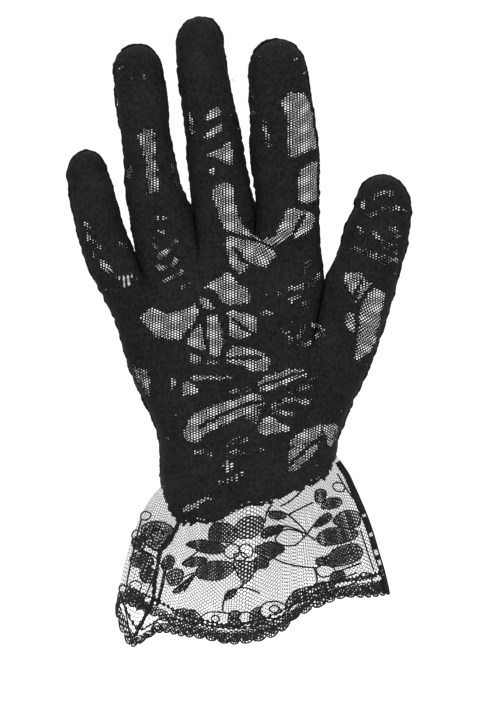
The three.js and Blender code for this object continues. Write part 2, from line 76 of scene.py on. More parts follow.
# Each finger above its web row: x, z, half width, half depth and bend of its sections, then its tip.
FINGERS = [
    {
        "name": "little", "web": 4, "deep": 8, "tip": (-65, 134.1, 4.4),
        "sections": [(-57.7, 101.4, 8.6, 7.2, 0.5), (-61.2, 114.7, 8.5, 7, 1.8), (-63.6, 125, 7.4, 6.2, 3.4)],
    },
    {
        "name": "ring", "web": 4, "deep": 9.2, "tip": (-45, 175.7, 5.2),
        "sections": [
            (-37.4, 118.6, 10.4, 8.6, 0.3), (-40.2, 136.9, 8.9, 7.8, 1.4), (-42, 151.3, 9.6, 7.9, 2.6),
            (-43.9, 165.6, 9, 7.1, 4.2),
        ],
    },
    {
        "name": "middle", "web": 4, "deep": 9.6, "tip": (-19.9, 186.6, 6),
        "sections": [
            (-12.1, 122.5, 11, 9, 0.2), (-13.9, 136.5, 10.4, 8.7, 1), (-16.1, 150.2, 9.6, 8.2, 2),
            (-18.4, 163.8, 9.2, 7.8, 3.4), (-19.7, 175.6, 8.8, 7.1, 5),
        ],
    },
    {
        "name": "index", "web": 4, "deep": 9.6, "tip": (9.8, 177.8, 5.4),
        "sections": [
            (14.6, 118.6, 12, 9.2, 0.3), (13.6, 133.4, 12.9, 9.2, 1.2), (12.5, 148.2, 12, 8.8, 2.4),
            (10.9, 164.4, 11.1, 7.9, 4.2),
        ],
    },
    {
        "name": "thumb", "web": 3, "deep": 12, "tip": (53.6, 125, 12.6),
        "sections": [
            (47, 92.6, 12.2, 10.6, 7.5), (49.4, 101.2, 12.3, 9.8, 8.6), (52.1, 111, 10.9, 8.8, 10.4),
        ],
    },
]
THUMB = len(FINGERS) - 1
PALM_ROUND = 2.5
WEB_REACH = 0.85
WRIST_ROUND = 186.0
PALM_MESH = 0.87
# The hem's lace, from a little above the hand's lowest row to below its deepest point.
HEM_RISE = -1.6
HEM_DEEP = 22.5
BORDER_LINE = 0.904
SHELL_BAND = 0.94
SHELL_DEEP = 0.03
# The flower chart is drawn as seen from here.
VIEW_DISTANCE = 1400.0
VIEW_HEIGHT = 53.8

# The flower lace of the hand, charted in millimetres: x and z round each window of net that
# shows between the flowers, with how open its net is.
NET_WINDOWS = [
    ("side of palm", 1, [(-42.3, 69.8), (-38, 72.9), (-33.6, 71.3), (-29.3, 71.6), (-23.7, 73.5), (-19.9, 76),
        (-18.7, 72.3), (-21.8, 67.3), (-25.5, 60.4), (-31.1, 60.4), (-37.4, 62.3), (-41.1, 66)]),
    ("inside first stem", 1, [(-18.7, 67.6), (-17.5, 63.6), (-17.1, 56.1), (-21.2, 57), (-25.9, 58.9),
        (-23.7, 62.9)]),
    ("between stems", 1, [(-16.2, 69.8), (-12.5, 70.4), (-10.3, 66), (-10, 59.8), (-11.2, 54.2),
        (-15.6, 54.2),
        (-16.2, 61.1), (-17.1, 67.3)]),
    ("above stems", 1, [(-20.6, 76), (-17.5, 77.5), (-13.7, 73.5), (-15.6, 71.6), (-18.7, 72.3)]),
    ("palm centre", 1, [(-18.7, 81), (-15, 83.5), (-8.8, 87.5), (-4.4, 83.5), (0, 78.5), (-0.7, 74.7),
        (-9.4, 74.1), (-13.1, 78.5), (-16.2, 80.3)]),
    ("beyond stem", 1, [(-8.8, 71.6), (-2.5, 71.6), (2.4, 69.2), (2.7, 66), (1.2, 62.3), (-7.5, 61.1),
        (-8.8, 66)]),
    ("under stem", 1, [(-6.9, 57.6), (0, 57.3), (4.9, 55.5), (8, 51.7), (6.8, 49.3), (2.4, 47.4),
        (-2.5, 49.9),
        (-8.8, 51.1), (-9.4, 54.8)]),
    ("above eye leaf", 0.8, [(-23.7, 56.1), (-18.7, 54.2), (-18.1, 51.7), (-21.8, 50.5), (-23.7, 53)]),
    (
        "over eye leaf", 0.8,
        [(-18.1, 52.2), (-13.7, 53.1), (-10, 53), (-10.6, 51.2), (-15, 51), (-18.1, 50.6)],
    ),
    ("left of eye leaf", 1, [(-27.4, 41.2), (-24, 44.9), (-19.6, 40.5), (-23.7, 38.7), (-26.8, 39.3)]),
    (
        "eye leaf slit", 1,
        [(-23.7, 46.5), (-16.2, 46.8), (-8.8, 46.5), (-8, 45.2), (-15, 44.8), (-21.8, 44.4)],
    ),
    ("low band", 1, [(-26.2, 23.1), (-22.4, 31.8), (-15, 35), (-5, 38.1), (3.1, 39.9), (5.5, 36.2),
        (3.1, 33.7), (-3.8, 30.6), (-9.4, 27.5), (-15, 25), (-18.7, 21.3), (-21.8, 20)]),
    ("right band", 1, [(3.1, 44.9), (9.9, 47.4), (16.1, 49.3), (21.1, 48.6), (21.7, 46.1), (14.9, 43.7),
        (6.8, 40.5), (3.1, 41.2)]),
    (
        "right band low", 0.7,
        [(13.6, 40.5), (19.2, 43.7), (26.7, 46.8), (27.3, 44.3), (21.1, 40.5), (14.9, 39.3)],
    ),
    ("over right leaf", 0.9, [(7.4, 33.7), (12.4, 37.4), (19.8, 38.4), (24.2, 37.4), (23.6, 35.6),
        (16.1, 35.9), (10.5, 33.4)]),
    ("right leaf slit", 0.9, [(6.2, 32.5), (13, 33.2), (18, 31.8), (16.7, 30.7), (8.7, 31.2)]),
    ("under right leaf", 1, [(3.7, 28.7), (7.4, 30.6), (12.4, 28.7), (16.1, 25), (8.7, 23.8), (3.7, 23.8)]),
    ("leaf fork", 0.9, [(-3.2, 30), (1.2, 32.5), (4.3, 33.7), (3.1, 28.1), (-0.7, 28.7)]),
    ("wrist side", 1, [(14.9, 15.1), (16.1, 21.3), (19.8, 25), (24.8, 26.9), (28.6, 28.1), (27.9, 20.6),
        (24.2, 15.1), (18.6, 9.5), (14.9, 10.1)]),
    ("torn wrist edge", 1, [(28.6, 26.9), (32.3, 28.1), (34.8, 25), (33.5, 20.6), (31, 18.2), (29.2, 21.9)]),
    ("knuckles", 1, [(-14.4, 119), (-7, 121.7), (-5.1, 112.7), (-2.7, 106.1), (1.2, 101), (7.4, 100.2),
        (11.7, 106.1), (14.4, 111.5), (20.3, 111.5), (25, 109.2), (24.2, 104.1), (18.7, 99.8), (14.8, 99.5),
        (9, 96.3), (9.8, 92.8), (6.2, 88.5), (0.4, 89.7), (-4.3, 85.4), (-7.4, 89.7), (-8.6, 94),
        (-10.1, 98.3), (-9.4, 102.2), (-12.9, 109.6)]),
    ("ring strip", 0.95, [(-43.6, 140.2), (-41.1, 143.3), (-37.4, 141.4), (-36.7, 130.9), (-35.5, 122.8),
        (-35.5, 117.8), (-39.8, 117.2), (-40.5, 124.7), (-42, 134)]),
    ("middle tip gap", 1, [(-18.7, 144.5), (-16.8, 148.9), (-13.1, 152.3), (-11.2, 150.1), (-11.9, 147.7),
        (-15.6, 145.8)]),
    ("middle joint gap", 1, [(-18.4, 139), (-15.6, 142.1), (-11.2, 145.2), (-10.6, 142.7), (-13.7, 140.2),
        (-17.1, 138.3)]),
    ("middle wedge", 1, [(-17.8, 132.7), (-12.5, 135.2), (-8.1, 137.7), (-6.6, 136.5), (-6.9, 128.4),
        (-10, 129.6), (-15, 131.5)]),
    ("middle dot", 1, [(-16.5, 127.1), (-13.7, 127.1), (-13.1, 124.7), (-16.2, 125)]),
    ("index pad", 1, [(12.4, 153.3), (15.5, 157), (21.1, 156.4), (24.2, 150.8), (26.1, 137.1), (23, 134),
        (15.5, 132.1), (14.9, 140.2), (14.3, 148.3)]),
    ("index side", 1, [(18, 119.7), (19.2, 125.9), (24.2, 129.9), (27, 129), (26.7, 118.4), (26.7, 114.7),
        (20.5, 113.5)]),
    (
        "little web", 1,
        [(-53.5, 85.3), (-49.2, 85.3), (-44.8, 85.9), (-46.1, 82.8), (-47.9, 80.3), (-51, 82.8)],
    ),
    ("little side", 0.9, [(-59, 91.5), (-57, 91.9), (-53.4, 87.1), (-55, 85.5), (-58.2, 89.1)]),
    ("heel strip", 0.9, [(-45.8, 50.5), (-43, 49.3), (-39.8, 48.6), (-38.6, 43.7), (-39.2, 38.7),
        (-42.3, 41.2), (-44.2, 44.9)]),
    ("side petal slit", 0.9, [(-31.8, 40.5), (-31.1, 45.5), (-29.3, 47.1), (-29, 43.7), (-30.5, 40.2)]),
    ("heel heart", 1, [(-10.6, 11.9), (-8.8, 16.3), (-6.9, 13.8), (-6.9, 10.1), (-10, 8.2)]),
    ("thumb net", 1, [(36.5, 86), (41.5, 87.1), (44.7, 84.9), (48.6, 81.6), (52.4, 77.3), (51.3, 71.2),
        (49.7, 64.1), (48, 57.6), (45.3, 54.3), (40.9, 52.6), (41.5, 60.3), (42.6, 68.5), (42, 72.9),
        (40.9, 76.7), (38.2, 79.5)]),
    ("thumb slit", 1, [(37.1, 70.7), (39.3, 71.8), (40.9, 68.5), (40.9, 62.5), (38.7, 64.7)]),
    ("ring rose left", 0.9, [(-38.1, 100.6), (-36.9, 100.6), (-35.5, 96.3), (-36.3, 94.3), (-38.1, 96.3)]),
    ("ring rose low", 0.9, [(-35.9, 94.3), (-31.1, 96.3), (-31.1, 94.7), (-33.9, 91.5), (-35.9, 92.3)]),
    ("ring side net", 0.5, [(-30.7, 132.1), (-29.1, 131.7), (-28.3, 125.3), (-26.7, 121.3), (-26.3, 116.2),
        (-28.3, 118.6), (-31.1, 124.9), (-32.3, 128.9)]),
    ("index side net", 0.6, [(-0.4, 158.2), (1.2, 157.6), (2.7, 150.1), (2.4, 145.8), (0.6, 149.5),
        (-0.7, 154.5)]),
]
# Stems and veins that cross the net: half width, then start, pull and end.
STEMS = [
    ("thick stem", 1.5, [(-19.3, 79.4), (-9.4, 73.5), (-9.4, 64.8)]),
    ("thick stem end", 1.3, [(-9.4, 64.8), (-8.8, 58), (-10.6, 53.6)]),
    ("inner stem", 0.8, [(-20.6, 75.4), (-17.5, 68.5), (-16.8, 54.2)]),
    ("outer stem", 0.7, [(-19.6, 68.5), (-23.7, 64.8), (-26.5, 58.9)]),
    ("cross stem", 0.6, [(-26.2, 58.3), (-21.8, 56.1), (-18.1, 53.6)]),
    ("knuckle vein", 0.6, [(-8.8, 102.1), (-0.7, 100.9), (9, 96.2)]),
    ("knuckle vein low", 0.5, [(-6.3, 95.9), (-3.2, 91.5), (1.2, 89)]),
    ("centre vein", 0.6, [(-8.8, 88.4), (-5.6, 84.7), (-3.8, 82.8)]),
    ("index root vein", 0.6, [(21.1, 109.4), (18, 104.8), (16.1, 98.8)]),
    ("low vein", 0.5, [(-19.9, 26.2), (-11.2, 31.8), (-2.5, 35)]),
    ("low vein end", 0.5, [(-2.5, 35), (1.2, 36.2), (4.9, 36.5)]),
    ("right vein", 0.5, [(3.7, 42.1), (11.8, 45.5), (21.1, 48)]),
    ("beyond vein", 0.5, [(-6.9, 68.5), (-2.5, 64.8), (1.8, 62.9)]),
    ("under vein", 0.6, [(-8.8, 53.3), (-2.5, 53.6), (4.3, 53.6)]),
    ("wrist vein", 0.5, [(15.5, 11.9), (21.7, 17.5), (27.9, 23.1)]),
    ("thumb vein", 0.6, [(41.2, 76.7), (41.7, 80.5), (43.6, 83.3)]),
    ("thumb branch", 0.6, [(42, 74), (45.3, 77.8), (48, 81.6)]),
]
# Thin open arcs that draw the petals: half width, then three points.
PETAL_ARCS = [
    ("ring rose", 0.5, [(-38.3, 106.8), (-35.9, 108.8), (-32.7, 108)]),
    ("ring rose", 0.4, [(-35.7, 103), (-34.7, 103.2), (-33.9, 102.4)]),
    ("ring rose", 0.5, [(-35.9, 88.7), (-31.9, 87.9), (-28.7, 91.5)]),
    ("ring rose", 0.5, [(-33.5, 83.5), (-29.5, 84.7), (-26.7, 87.1)]),
    ("ring rose", 0.5, [(-26.3, 80.7), (-25.2, 81.3), (-24, 81.5)]),
    ("ring rose", 0.5, [(-31.9, 97.1), (-30.3, 97.9), (-29.1, 99.1)]),
    ("index rose", 0.45, [(24.8, 92.8), (20.5, 89), (20.8, 85.9)]),
    ("index rose", 0.4, [(26.7, 85.3), (24.8, 83.5), (23, 81.9)]),
    ("index rose", 0.55, [(11.1, 78.5), (16.1, 80.7), (20.5, 81.3)]),
    ("index rose", 0.5, [(15.8, 76), (17.4, 77.2), (19.2, 78.2)]),
    ("index rose", 0.4, [(21.7, 74.7), (21.4, 73.5), (20.5, 72.3)]),
    ("index rose", 0.5, [(15.2, 60.4), (20.5, 60.4), (20.8, 66)]),
    ("index rose", 0.45, [(19.5, 58.6), (24.2, 58), (27, 62.3)]),
    ("index rose", 0.4, [(12.4, 63.9), (13.3, 63.6), (14.4, 63.6)]),
    ("index rose", 0.35, [(24.2, 66), (26.7, 66), (28.6, 63.6)]),
    ("index rose", 0.35, [(4.3, 70.4), (6.2, 70.9), (8, 71)]),
    ("heel rose", 0.5, [(-8.8, 20), (-5.6, 21.4), (-1.9, 21.3)]),
    ("heel rose", 0.5, [(-21.2, 16.3), (-18.7, 16.9), (-15.9, 16.4)]),
    ("heel rose", 0.45, [(-6.9, 16.3), (-5.3, 16.6), (-3.5, 16.2)]),
    ("heel rose", 0.6, [(-6.9, 6.2), (-5, 6.7), (-3.2, 8.3)]),
    ("heel rose", 0.4, [(3.1, 16.9), (4.3, 17.5), (5.5, 17.1)]),
    ("heel rose", 0.4, [(-6.3, 40.2), (-3.8, 40.9), (-0.7, 41.2)]),
    ("thumb rose", 0.5, [(47.2, 115.6), (51.9, 118.9), (56.2, 116.9)]),
    ("thumb rose", 0.5, [(46.1, 108.5), (50.2, 110.9), (57.3, 112)]),
    ("thumb rose", 0.55, [(48.3, 102.7), (51.9, 98.1), (56.2, 95.3)]),
    ("thumb rose", 0.5, [(54.6, 104.1), (56.2, 103.5), (57.3, 101.3)]),
    ("thumb rose", 0.5, [(40.4, 95.9), (46.4, 94.2), (52.9, 90.7)]),
    ("thumb rose", 0.45, [(51.9, 92.9), (54, 92.3), (56.8, 90.9)]),
    ("thumb rose", 0.3, [(44.7, 115), (44.5, 113.9), (44.2, 112.6)]),
    ("thumb rose", 0.3, [(42.6, 104.1), (43.1, 103), (43.6, 101.9)]),
    ("little rose", 0.4, [(-63.8, 106), (-63.2, 104.6), (-62.8, 103.4)]),
    ("little rose", 0.4, [(-63.2, 102.2), (-62.8, 100.6), (-62.2, 99.8)]),
    ("little rose", 0.35, [(-61.4, 99.5), (-59.4, 97.9), (-57.4, 95.1)]),
    ("little rose", 0.35, [(-61, 96.3), (-60.6, 94.7), (-60.2, 93.5)]),
    ("little rose", 0.35, [(-51, 97.7), (-49.8, 97.5), (-48.2, 97.3)]),
    ("index slit", 0.5, [(5.5, 145.2), (5.9, 140.8), (8, 136.5)]),
    ("middle bar", 0.3, [(-23.4, 149.5), (-23.1, 144.5), (-21.8, 141.4)]),
    ("hem arc", 0.5, [(-25.7, -5.7), (-21.2, -4.3), (-16, -1.1)]),
    ("hem arc", 0.4, [(-11.5, 5.1), (-7, 4.7), (-3.3, 8.4)]),
    ("side speck", 0.3, [(-47, 128.5), (-46.2, 126.5), (-46.6, 123.7)]),
]
# Small holes near the fingertips: x and z.
PINHOLES = [
    (-50.1, 166.6), (-46.1, 162.3), (-40.8, 162.9), (17.4, 170.0), (21.1, 164.4), (57.9, 112.4),
    (60.1, 110.9),
    (-29.0, 168.5), (44.0, 113.5),
]
# Stretches of the side seam that have small loops of net beside them: x of the stretch, its reach,
# lowest and highest z.
FRAYS = [
    {"name": "index", "x": 1.0, "reach": 4.5, "low": 147, "high": 158},
    {"name": "ring", "x": -29.0, "reach": 4.0, "low": 117, "high": 132},
    {"name": "heel", "x": -43.0, "reach": 6.0, "low": 35, "high": 52},
    {"name": "palm", "x": -49.0, "reach": 6.0, "low": 58, "high": 64},
    {"name": "wrist", "x": 35.5, "reach": 5.0, "low": 17, "high": 30},
]
# The ruffle's flowers and leaves: how open each one's ground is and its outline.
RUFFLE_PETALS = [
    ("upper left petal", 0.58, [(-16, -15.4), (-14.5, -11.7), (-10.7, -11), (-6.3, -12.5), (-4.8, -16.2),
        (-7, -18.4), (-10.7, -18.4), (-15.2, -18.1)]),
    ("upper petal", 0.58, [(-6.3, -13.2), (-3.3, -9.5), (1.2, -8.4), (4.9, -9.5), (4.9, -12.5), (1.9, -16.2),
        (-1.8, -16.9), (-5.5, -16.2)]),
    ("right petal", 0.51, [(3.4, -19.9), (8.7, -18.4), (13.5, -21), (10.1, -23.7), (7.9, -25.1), (4.2, -23.7),
        (1.9, -21.4)]),
    ("right low petal", 0.51, [(2.7, -24.4), (6.4, -24.4), (7.2, -26.6), (5.7, -28.5), (1.9, -28.1)]),
    ("bottom petal", 0.56, [(-6.3, -25.9), (-1.8, -25.9), (2.7, -26.6), (1.2, -31.1), (-1.8, -34.1),
        (-4.8, -31.1)]),
    ("lower left petal", 0.57, [(-21.2, -30.4), (-18.2, -27), (-13, -25.9), (-7, -26.6), (-6.3, -28.9),
        (-9.3, -31.9), (-13.7, -33.2), (-19, -32.6)]),
    ("left petal", 0.52, [(-24.9, -19.2), (-19.7, -17.7), (-14.5, -18.4), (-10, -19.9), (-10.7, -22.2),
        (-14.5, -22.9), (-19, -22.2), (-21.2, -21)]),
    ("left leaf", 0.54, [(-26.4, -26.6), (-21.9, -24.4), (-16.7, -25.1), (-19.7, -27.4), (-24.2, -27.8)]),
    ("upper right leaf", 0.54, [(4.9, -14), (7.9, -12.5), (13.1, -12.1), (10.9, -14.7), (7.2, -16.2),
        (4.9, -16.9)]),
    ("vine leaf", 0.51, [(25.1, -12.5), (27.3, -9.1), (30.3, -7.2), (31.8, -8.7), (29.5, -11)]),
    ("corner leaf", 0.54, [(-30.1, -37.8), (-26.4, -34.8), (-21.9, -31.1), (-23.4, -34.1), (-27.2, -37.8)]),
    ("sprig leaf", 0.51, [(-10, -40.1), (-8.5, -37.8), (-5.5, -36.7), (-6.3, -39.3), (-9.3, -40.8)]),
    ("hem leaf", 0.63, [(7.2, -8), (9.4, -6.9), (13.1, -7.2), (13.9, -8.7), (10.1, -9.5)]),
    ("flare bud", 0.6, [(26.6, 2.1), (29.5, 1.3), (28.8, -2.4), (25.8, -2.8), (25.4, 0.2)]),
    ("flare leaf top", 0.57, [(28.1, -3.5), (31, -1.3), (35.5, -2), (34.8, -4.3), (31, -5.4), (28.1, -5)]),
    ("flare leaf outer", 0.6, [(32.5, -9.5), (36.3, -6.5), (41.5, -6.5), (43, -9.5), (41.5, -12.5),
        (37, -12.8), (33.3, -11.3)]),
    ("flare leaf middle", 0.6, [(25.8, -16.9), (28.8, -14), (34, -12.8), (41.5, -14), (40.7, -16.9),
        (35.5, -18.8), (28.8, -19.6)]),
    ("flare leaf low", 0.6, [(30.3, -23.7), (34, -20.7), (40, -19.2), (43.7, -21.4), (42.2, -25.1),
        (37, -27.4), (31, -27.8), (28.8, -25.9)]),
    ("flare slip", 0.57, [(25.8, -25.1), (28.8, -24.4), (31, -25.9), (29.5, -27), (26.6, -27.4)]),
    ("flare petal", 0.57, [(31.8, -31.1), (34.8, -29.6), (37, -31.1), (34.8, -34.1), (31.8, -34.1)]),
    ("left rose", 0.66, [(-42.1, -12.5), (-38.4, -10.6), (-33.1, -11), (-29.4, -14), (-30.9, -18.4),
        (-34.6, -21.4), (-39.8, -19.9), (-41.7, -16.2)]),
    ("left leaf wide", 0.54, [(-46.6, -25.1), (-43.6, -22.2), (-39.1, -23.7), (-37.6, -26.6), (-40.6, -28.5),
        (-45.1, -27.8)]),
    (
        "left leaf round", 0.54,
        [(-42.8, -30.4), (-39.8, -28.5), (-36.9, -30.4), (-37.6, -33.7), (-41.3, -34.1)],
    ),
    ("left tip leaf", 0.45, [(-48.8, -37.8), (-45.1, -37.1), (-41.3, -40.1), (-44.3, -41.9), (-48.1, -40.8)]),
    ("left inner leaf", 0.57, [(-32.4, -31.1), (-28.7, -28.9), (-26, -30.4), (-27.2, -34.1), (-30.9, -35.2)]),
    ("left low leaf", 0.54, [(-30.1, -45.7), (-26.4, -44.5), (-23.1, -46), (-26.4, -47.7)]),
    ("left mid leaf", 0.54, [(-45.8, -17.7), (-42.8, -16.2), (-40.6, -18.4), (-42.1, -21.4), (-45.1, -20.7)]),
    ("left pair leaf", 0.54, [(-34.6, -28.1), (-32.4, -23.7), (-29.4, -25.1), (-30.9, -28.9)]),
    ("border patch left", 0.68, [(-25.7, -46), (-22.7, -44.9), (-19.7, -46.8), (-19, -49.8), (-22.7, -50.5),
        (-25.3, -49)]),
    (
        "border patch", 0.68,
        [(-7.8, -46), (-4, -45.7), (-4.4, -48.3), (-2.9, -50.9), (-6.3, -51.4), (-8.5, -49.8)],
    ),
    ("border patch right", 0.68, [(0.4, -45.7), (3.8, -43.8), (4.2, -46.8), (6.4, -49), (2.7, -50.4),
        (0.1, -49.8)]),
    ("border patch far", 0.68, [(14.2, -41.9), (17.6, -37.8), (22.1, -36), (25.1, -36), (23.6, -40.1),
        (19.1, -41.9), (15.4, -43.8)]),
    ("border patch flare", 0.68, [(25.1, -35.2), (28.8, -34.1), (33.3, -34.1), (31.8, -36), (27.3, -37.1)]),
]
# Outlines that stand on the ruffle's open net.
RUFFLE_RINGS = [
    ("border lens", [(-19.3, -48.3), (-16.7, -46), (-13, -45.7), (-8.5, -46.4), (-7, -48.3), (-10, -50.9),
        (-13.7, -51.6), (-17.5, -50.5)]),
    ("border lens heart", [(-15.2, -48.3), (-13.7, -46.9), (-11.9, -48.3), (-13.6, -49.8)]),
    (
        "border lens small",
        [(-4.8, -47.5), (-3.3, -46), (0.4, -46), (1.2, -48.3), (-0.3, -49.8), (-3.3, -49.8)],
    ),
    ("border lens right", [(3.8, -45.3), (5.7, -42.3), (10.1, -41.6), (13.9, -43.1), (15.4, -45.3),
        (12.4, -47.5), (7.9, -48.3), (4.9, -47.2)]),
    ("border lens right heart", [(7.5, -44.9), (9, -43.1), (11.6, -44.2), (9.8, -46)]),
    ("border lens end", [(16.5, -38.6), (18.7, -36.9), (20.6, -38.6), (18.4, -40.2)]),
    (
        "flower heart left",
        [(-10, -21.4), (-7.8, -19.2), (-4.8, -19.9), (-4.4, -22.9), (-7, -24.8), (-9.6, -23.7)],
    ),
    (
        "flower heart right",
        [(-3.7, -19.9), (-0.7, -19.2), (1.2, -21.4), (0.4, -24), (-2.5, -24.4), (-3.7, -22.2)],
    ),
    ("flower heart low", [(-6.3, -23.3), (-3.3, -22.5), (-1, -24), (-2.9, -25.9), (-5.5, -25.5)]),
    ("top ring", [(32.2, 3.6), (33.9, 4.9), (36.9, 3.6), (36.2, 1.4), (33.4, 1.6)]),
    ("flare loop", [(25.8, -28.9), (28.1, -27.4), (32.2, -28.1), (32.9, -30.4), (29.5, -32), (26.9, -31.5)]),
    ("flare border loop", [(41.5, -33.4), (43.7, -30.4), (46.7, -31.1), (47.4, -34.1), (45.2, -36.5),
        (42.6, -36)]),
    ("left rose heart", [(-38.4, -14.5), (-35.8, -13.4), (-33.6, -15.2), (-34.4, -18.1), (-37.2, -18.2)]),
    (
        "left rose petal",
        [(-41.2, -14.5), (-38.6, -12.2), (-35.2, -12.4), (-36.4, -14.2), (-38.8, -15.2), (-40.2, -17.4)],
    ),
    (
        "left rose low petal",
        [(-39.6, -18.6), (-36.2, -19.4), (-33.0, -18.4), (-31.6, -15.4), (-33.4, -20.2), (-37.0, -21.8)],
    ),
    ("left ring", [(-42.6, -8.4), (-41.2, -6.5), (-38.6, -7.3), (-39.2, -9.2), (-41.4, -9.9)]),
    ("left small ring", [(-46, -15.8), (-44.6, -13.7), (-42.3, -14.9), (-43.1, -17), (-45.2, -17.3)]),
    ("left tip ring", [(-46.8, -34.9), (-44.9, -33.5), (-42.4, -34.6), (-42.9, -37.2), (-45.6, -37.9)]),
    ("left low ring", [(-38.4, -52), (-36.1, -49.8), (-34.6, -52), (-36.9, -53.5)]),
    ("vine loop", [(9.8, -17.3), (13.5, -13.6), (19.1, -14.3), (20.6, -16.6), (17.6, -19.6), (12.8, -19.6)]),
]
# Vines on the ruffle: start, pull and end.
RUFFLE_VINES = [
    ("hem vine", [(5.7, -11), (6.4, -5.7), (8.7, -3.9)]),
    ("hem vine out", [(12, -4.3), (16.9, -2.4), (20.7, 2.5)]),
    ("hem vine low", [(6, -6.9), (12.4, -5), (16.9, -9.5)]),
    ("hem vine end", [(16.9, -9.5), (20.6, -12.5), (22.5, -15.8)]),
    ("far vine", [(14.6, -8), (19.8, -5), (24.7, -2.9)]),
    ("leaf vine", [(13.1, -12.1), (18.4, -12.5), (25.4, -17.7)]),
    ("petal vine", [(9.8, -25.1), (16.1, -28.1), (25.8, -28.5)]),
    ("left vine", [(-26, -27), (-21.2, -22.2), (-16.7, -19.9)]),
    ("left low vine", [(-26.8, -33), (-23.4, -30.4), (-20.8, -30.4)]),
    ("sprig", [(-5.5, -37.1), (-2.5, -34.8), (3.8, -38.4)]),
    ("sprig stalk", [(-2.2, -33.7), (-3.3, -36), (-5.5, -37.1)]),
    ("sprig drop", [(-9.9, -40.4), (-10.9, -43.1), (-10.6, -45.3)]),
    ("flare vine", [(34, 8.4), (37.8, 1), (42.2, -3.5)]),
    ("flare vine low", [(32.2, -30.4), (37.8, -28.9), (43, -26.6)]),
    ("join vine", [(21, -16.9), (23.6, -13.2), (27.3, -8.7)]),
    ("flare border", [(25.1, -38.6), (34, -37.8), (41.1, -34.1)]),
    ("flare edge vine", [(43.0, -13.5), (45.5, -21.5), (48.2, -29.5)]),
    ("left stalk", [(-42.2, -9.5), (-45.4, -19.9), (-48.4, -37.1)]),
    ("left cross", [(-43.6, -21.4), (-37.6, -22.2), (-33.9, -28.1)]),
    ("left drop", [(-38.4, -34.1), (-40.6, -40.1), (-44.3, -45.3)]),
    ("right corner vine", [(25.1, -28.9), (26.6, -32.6), (25.8, -34.8)]),
    ("flare low vine", [(25.8, -34.8), (32.5, -34.1), (41.5, -30.4)]),
    ("left edge vine", [(-50.3, -37.8), (-48.1, -46), (-46.6, -55.7)]),
    ("left front vine", [(-25.7, -37.8), (-23.4, -34.1), (-21.2, -31.1)]),
]
# Stretches of the flat band over the ruffle's seam; small slits lie between them.
WELT_STRETCHES = [(0.16, 0.585), (0.6, 0.7), (0.716, 0.79), (0.814, 0.842), (0.866, 0.893), (0.915, 0.985)]
# Lines where the ruffle's net is gathered close: half width, then the points of the line.
PLEATS = [
    ("left fold", 0.9, [(-27.4, -9.2), (-29.6, -14.6), (-34.6, -21.4), (-36.1, -28.1), (-37.1, -34.1),
        (-38, -41.6), (-41.7, -49), (-45.8, -56.5)]),
    ("left fold shade", 0.5, [(-32.8, -28.1), (-34.3, -35.6), (-36.1, -43.1)]),
    ("left corner", 1.6, [(-45.4, -40.4), (-42.5, -41.9), (-39.5, -44.9)]),
]

HEM_DROPS = [
    (0, 18.5), (30, 16), (55, 13), (75, 7), (90, 3.4), (105, 5), (135, 11), (180, 15), (225, 11), (250, 4),
    (265, 3), (282, 4.5), (295, 11), (320, 20), (340, 20.5),
]
# The ruffle's folds: turn, x, y and z of the lower edge, then the pull of the curve out and down. The
# edge is fitted to the photo and differs from the frame's by a few millimetres.
RUFFLE_FOLDS = [
    (0, -4, -30, -55.7, 0.04, 0.55),
    (18, 11, -30, -51.7, 0.045, 0.52),
    (36, 25, -27, -39.6, 0.05, 0.5),
    (66, 42, -17, -38.1, 0.25, 0.4),
    (88, 54.7, -5, -38.1, 0.56, 0.2),
    (112, 46, 13, -41, 0.3, 0.35),
    (130, 36, 25.5, -42, 0.14, 0.42),
    (146, 23, 34, -48.4, 0.06, 0.5),
    (178, -2, 28, -59, 0.04, 0.5),
    (208, -24, 35, -56.5, 0.06, 0.5),
    (242, -44, 21, -46, 0.25, 0.4),
    (268, -52, 5, -44, 0.68, 0.14),
    (288, -46.5, -18, -57.2, 0.12, 0.45),
    (308, -35, -18, -52.5, 0.04, 0.5),
    (332, -24, -27, -53.2, 0.04, 0.55),
]
SCALLOPS = 60
FAR_AWAY = 1000.0


def smooth(share):
    share = np.clip(share, 0, 1)
    return share * share * (3 - 2 * share)


def noise(*values):
    """A repeatable number from 0 to 1 for each place."""
    mixed = sum(np.asarray(v, float) * k for v, k in zip(values, (12.9898, 78.233, 37.719)))
    return np.abs(np.sin(mixed) * 43758.5453) % 1.0


def soft_noise(x, z, size, seed=0.0):
    """Smooth noise from -1 to 1, with bumps of that size."""
    px, pz = x / size, z / size
    ix, iz = np.floor(px), np.floor(pz)
    fx, fz = smooth(px - ix), smooth(pz - iz)
    low = noise(ix, iz, seed) * (1 - fx) + noise(ix + 1, iz, seed) * fx
    high = noise(ix, iz + 1, seed) * (1 - fx) + noise(ix + 1, iz + 1, seed) * fx
    return 2 * (low * (1 - fz) + high * fz) - 1


def through(values, at, closed=False):
    """Points on the smooth curve through rows of values, at fractional places."""
    values = np.asarray(values, float)
    values = values.reshape(len(values), -1)
    count = len(values)
    at = np.atleast_1d(np.asarray(at, float))
    if closed:
        low = np.floor(at).astype(int)
        a, b, c, d = (values[(low + k) % count] for k in (-1, 0, 1, 2))
    else:
        at = np.clip(at, 0, count - 1)
        low = np.minimum(np.floor(at).astype(int), count - 2)
        ends = np.vstack([2 * values[0] - values[1], values, 2 * values[-1] - values[-2]])
        a, b, c, d = (ends[low + k] for k in (0, 1, 2, 3))
    t = (at - low)[:, None]
    bend = (2 * a - 5 * b + 4 * c - d) * t + (3 * b - a - 3 * c + d) * t * t
    return b + 0.5 * t * (c - a + bend)


def unit(vectors):
    return vectors / np.maximum(np.linalg.norm(vectors, axis=-1, keepdims=True), 1e-9)


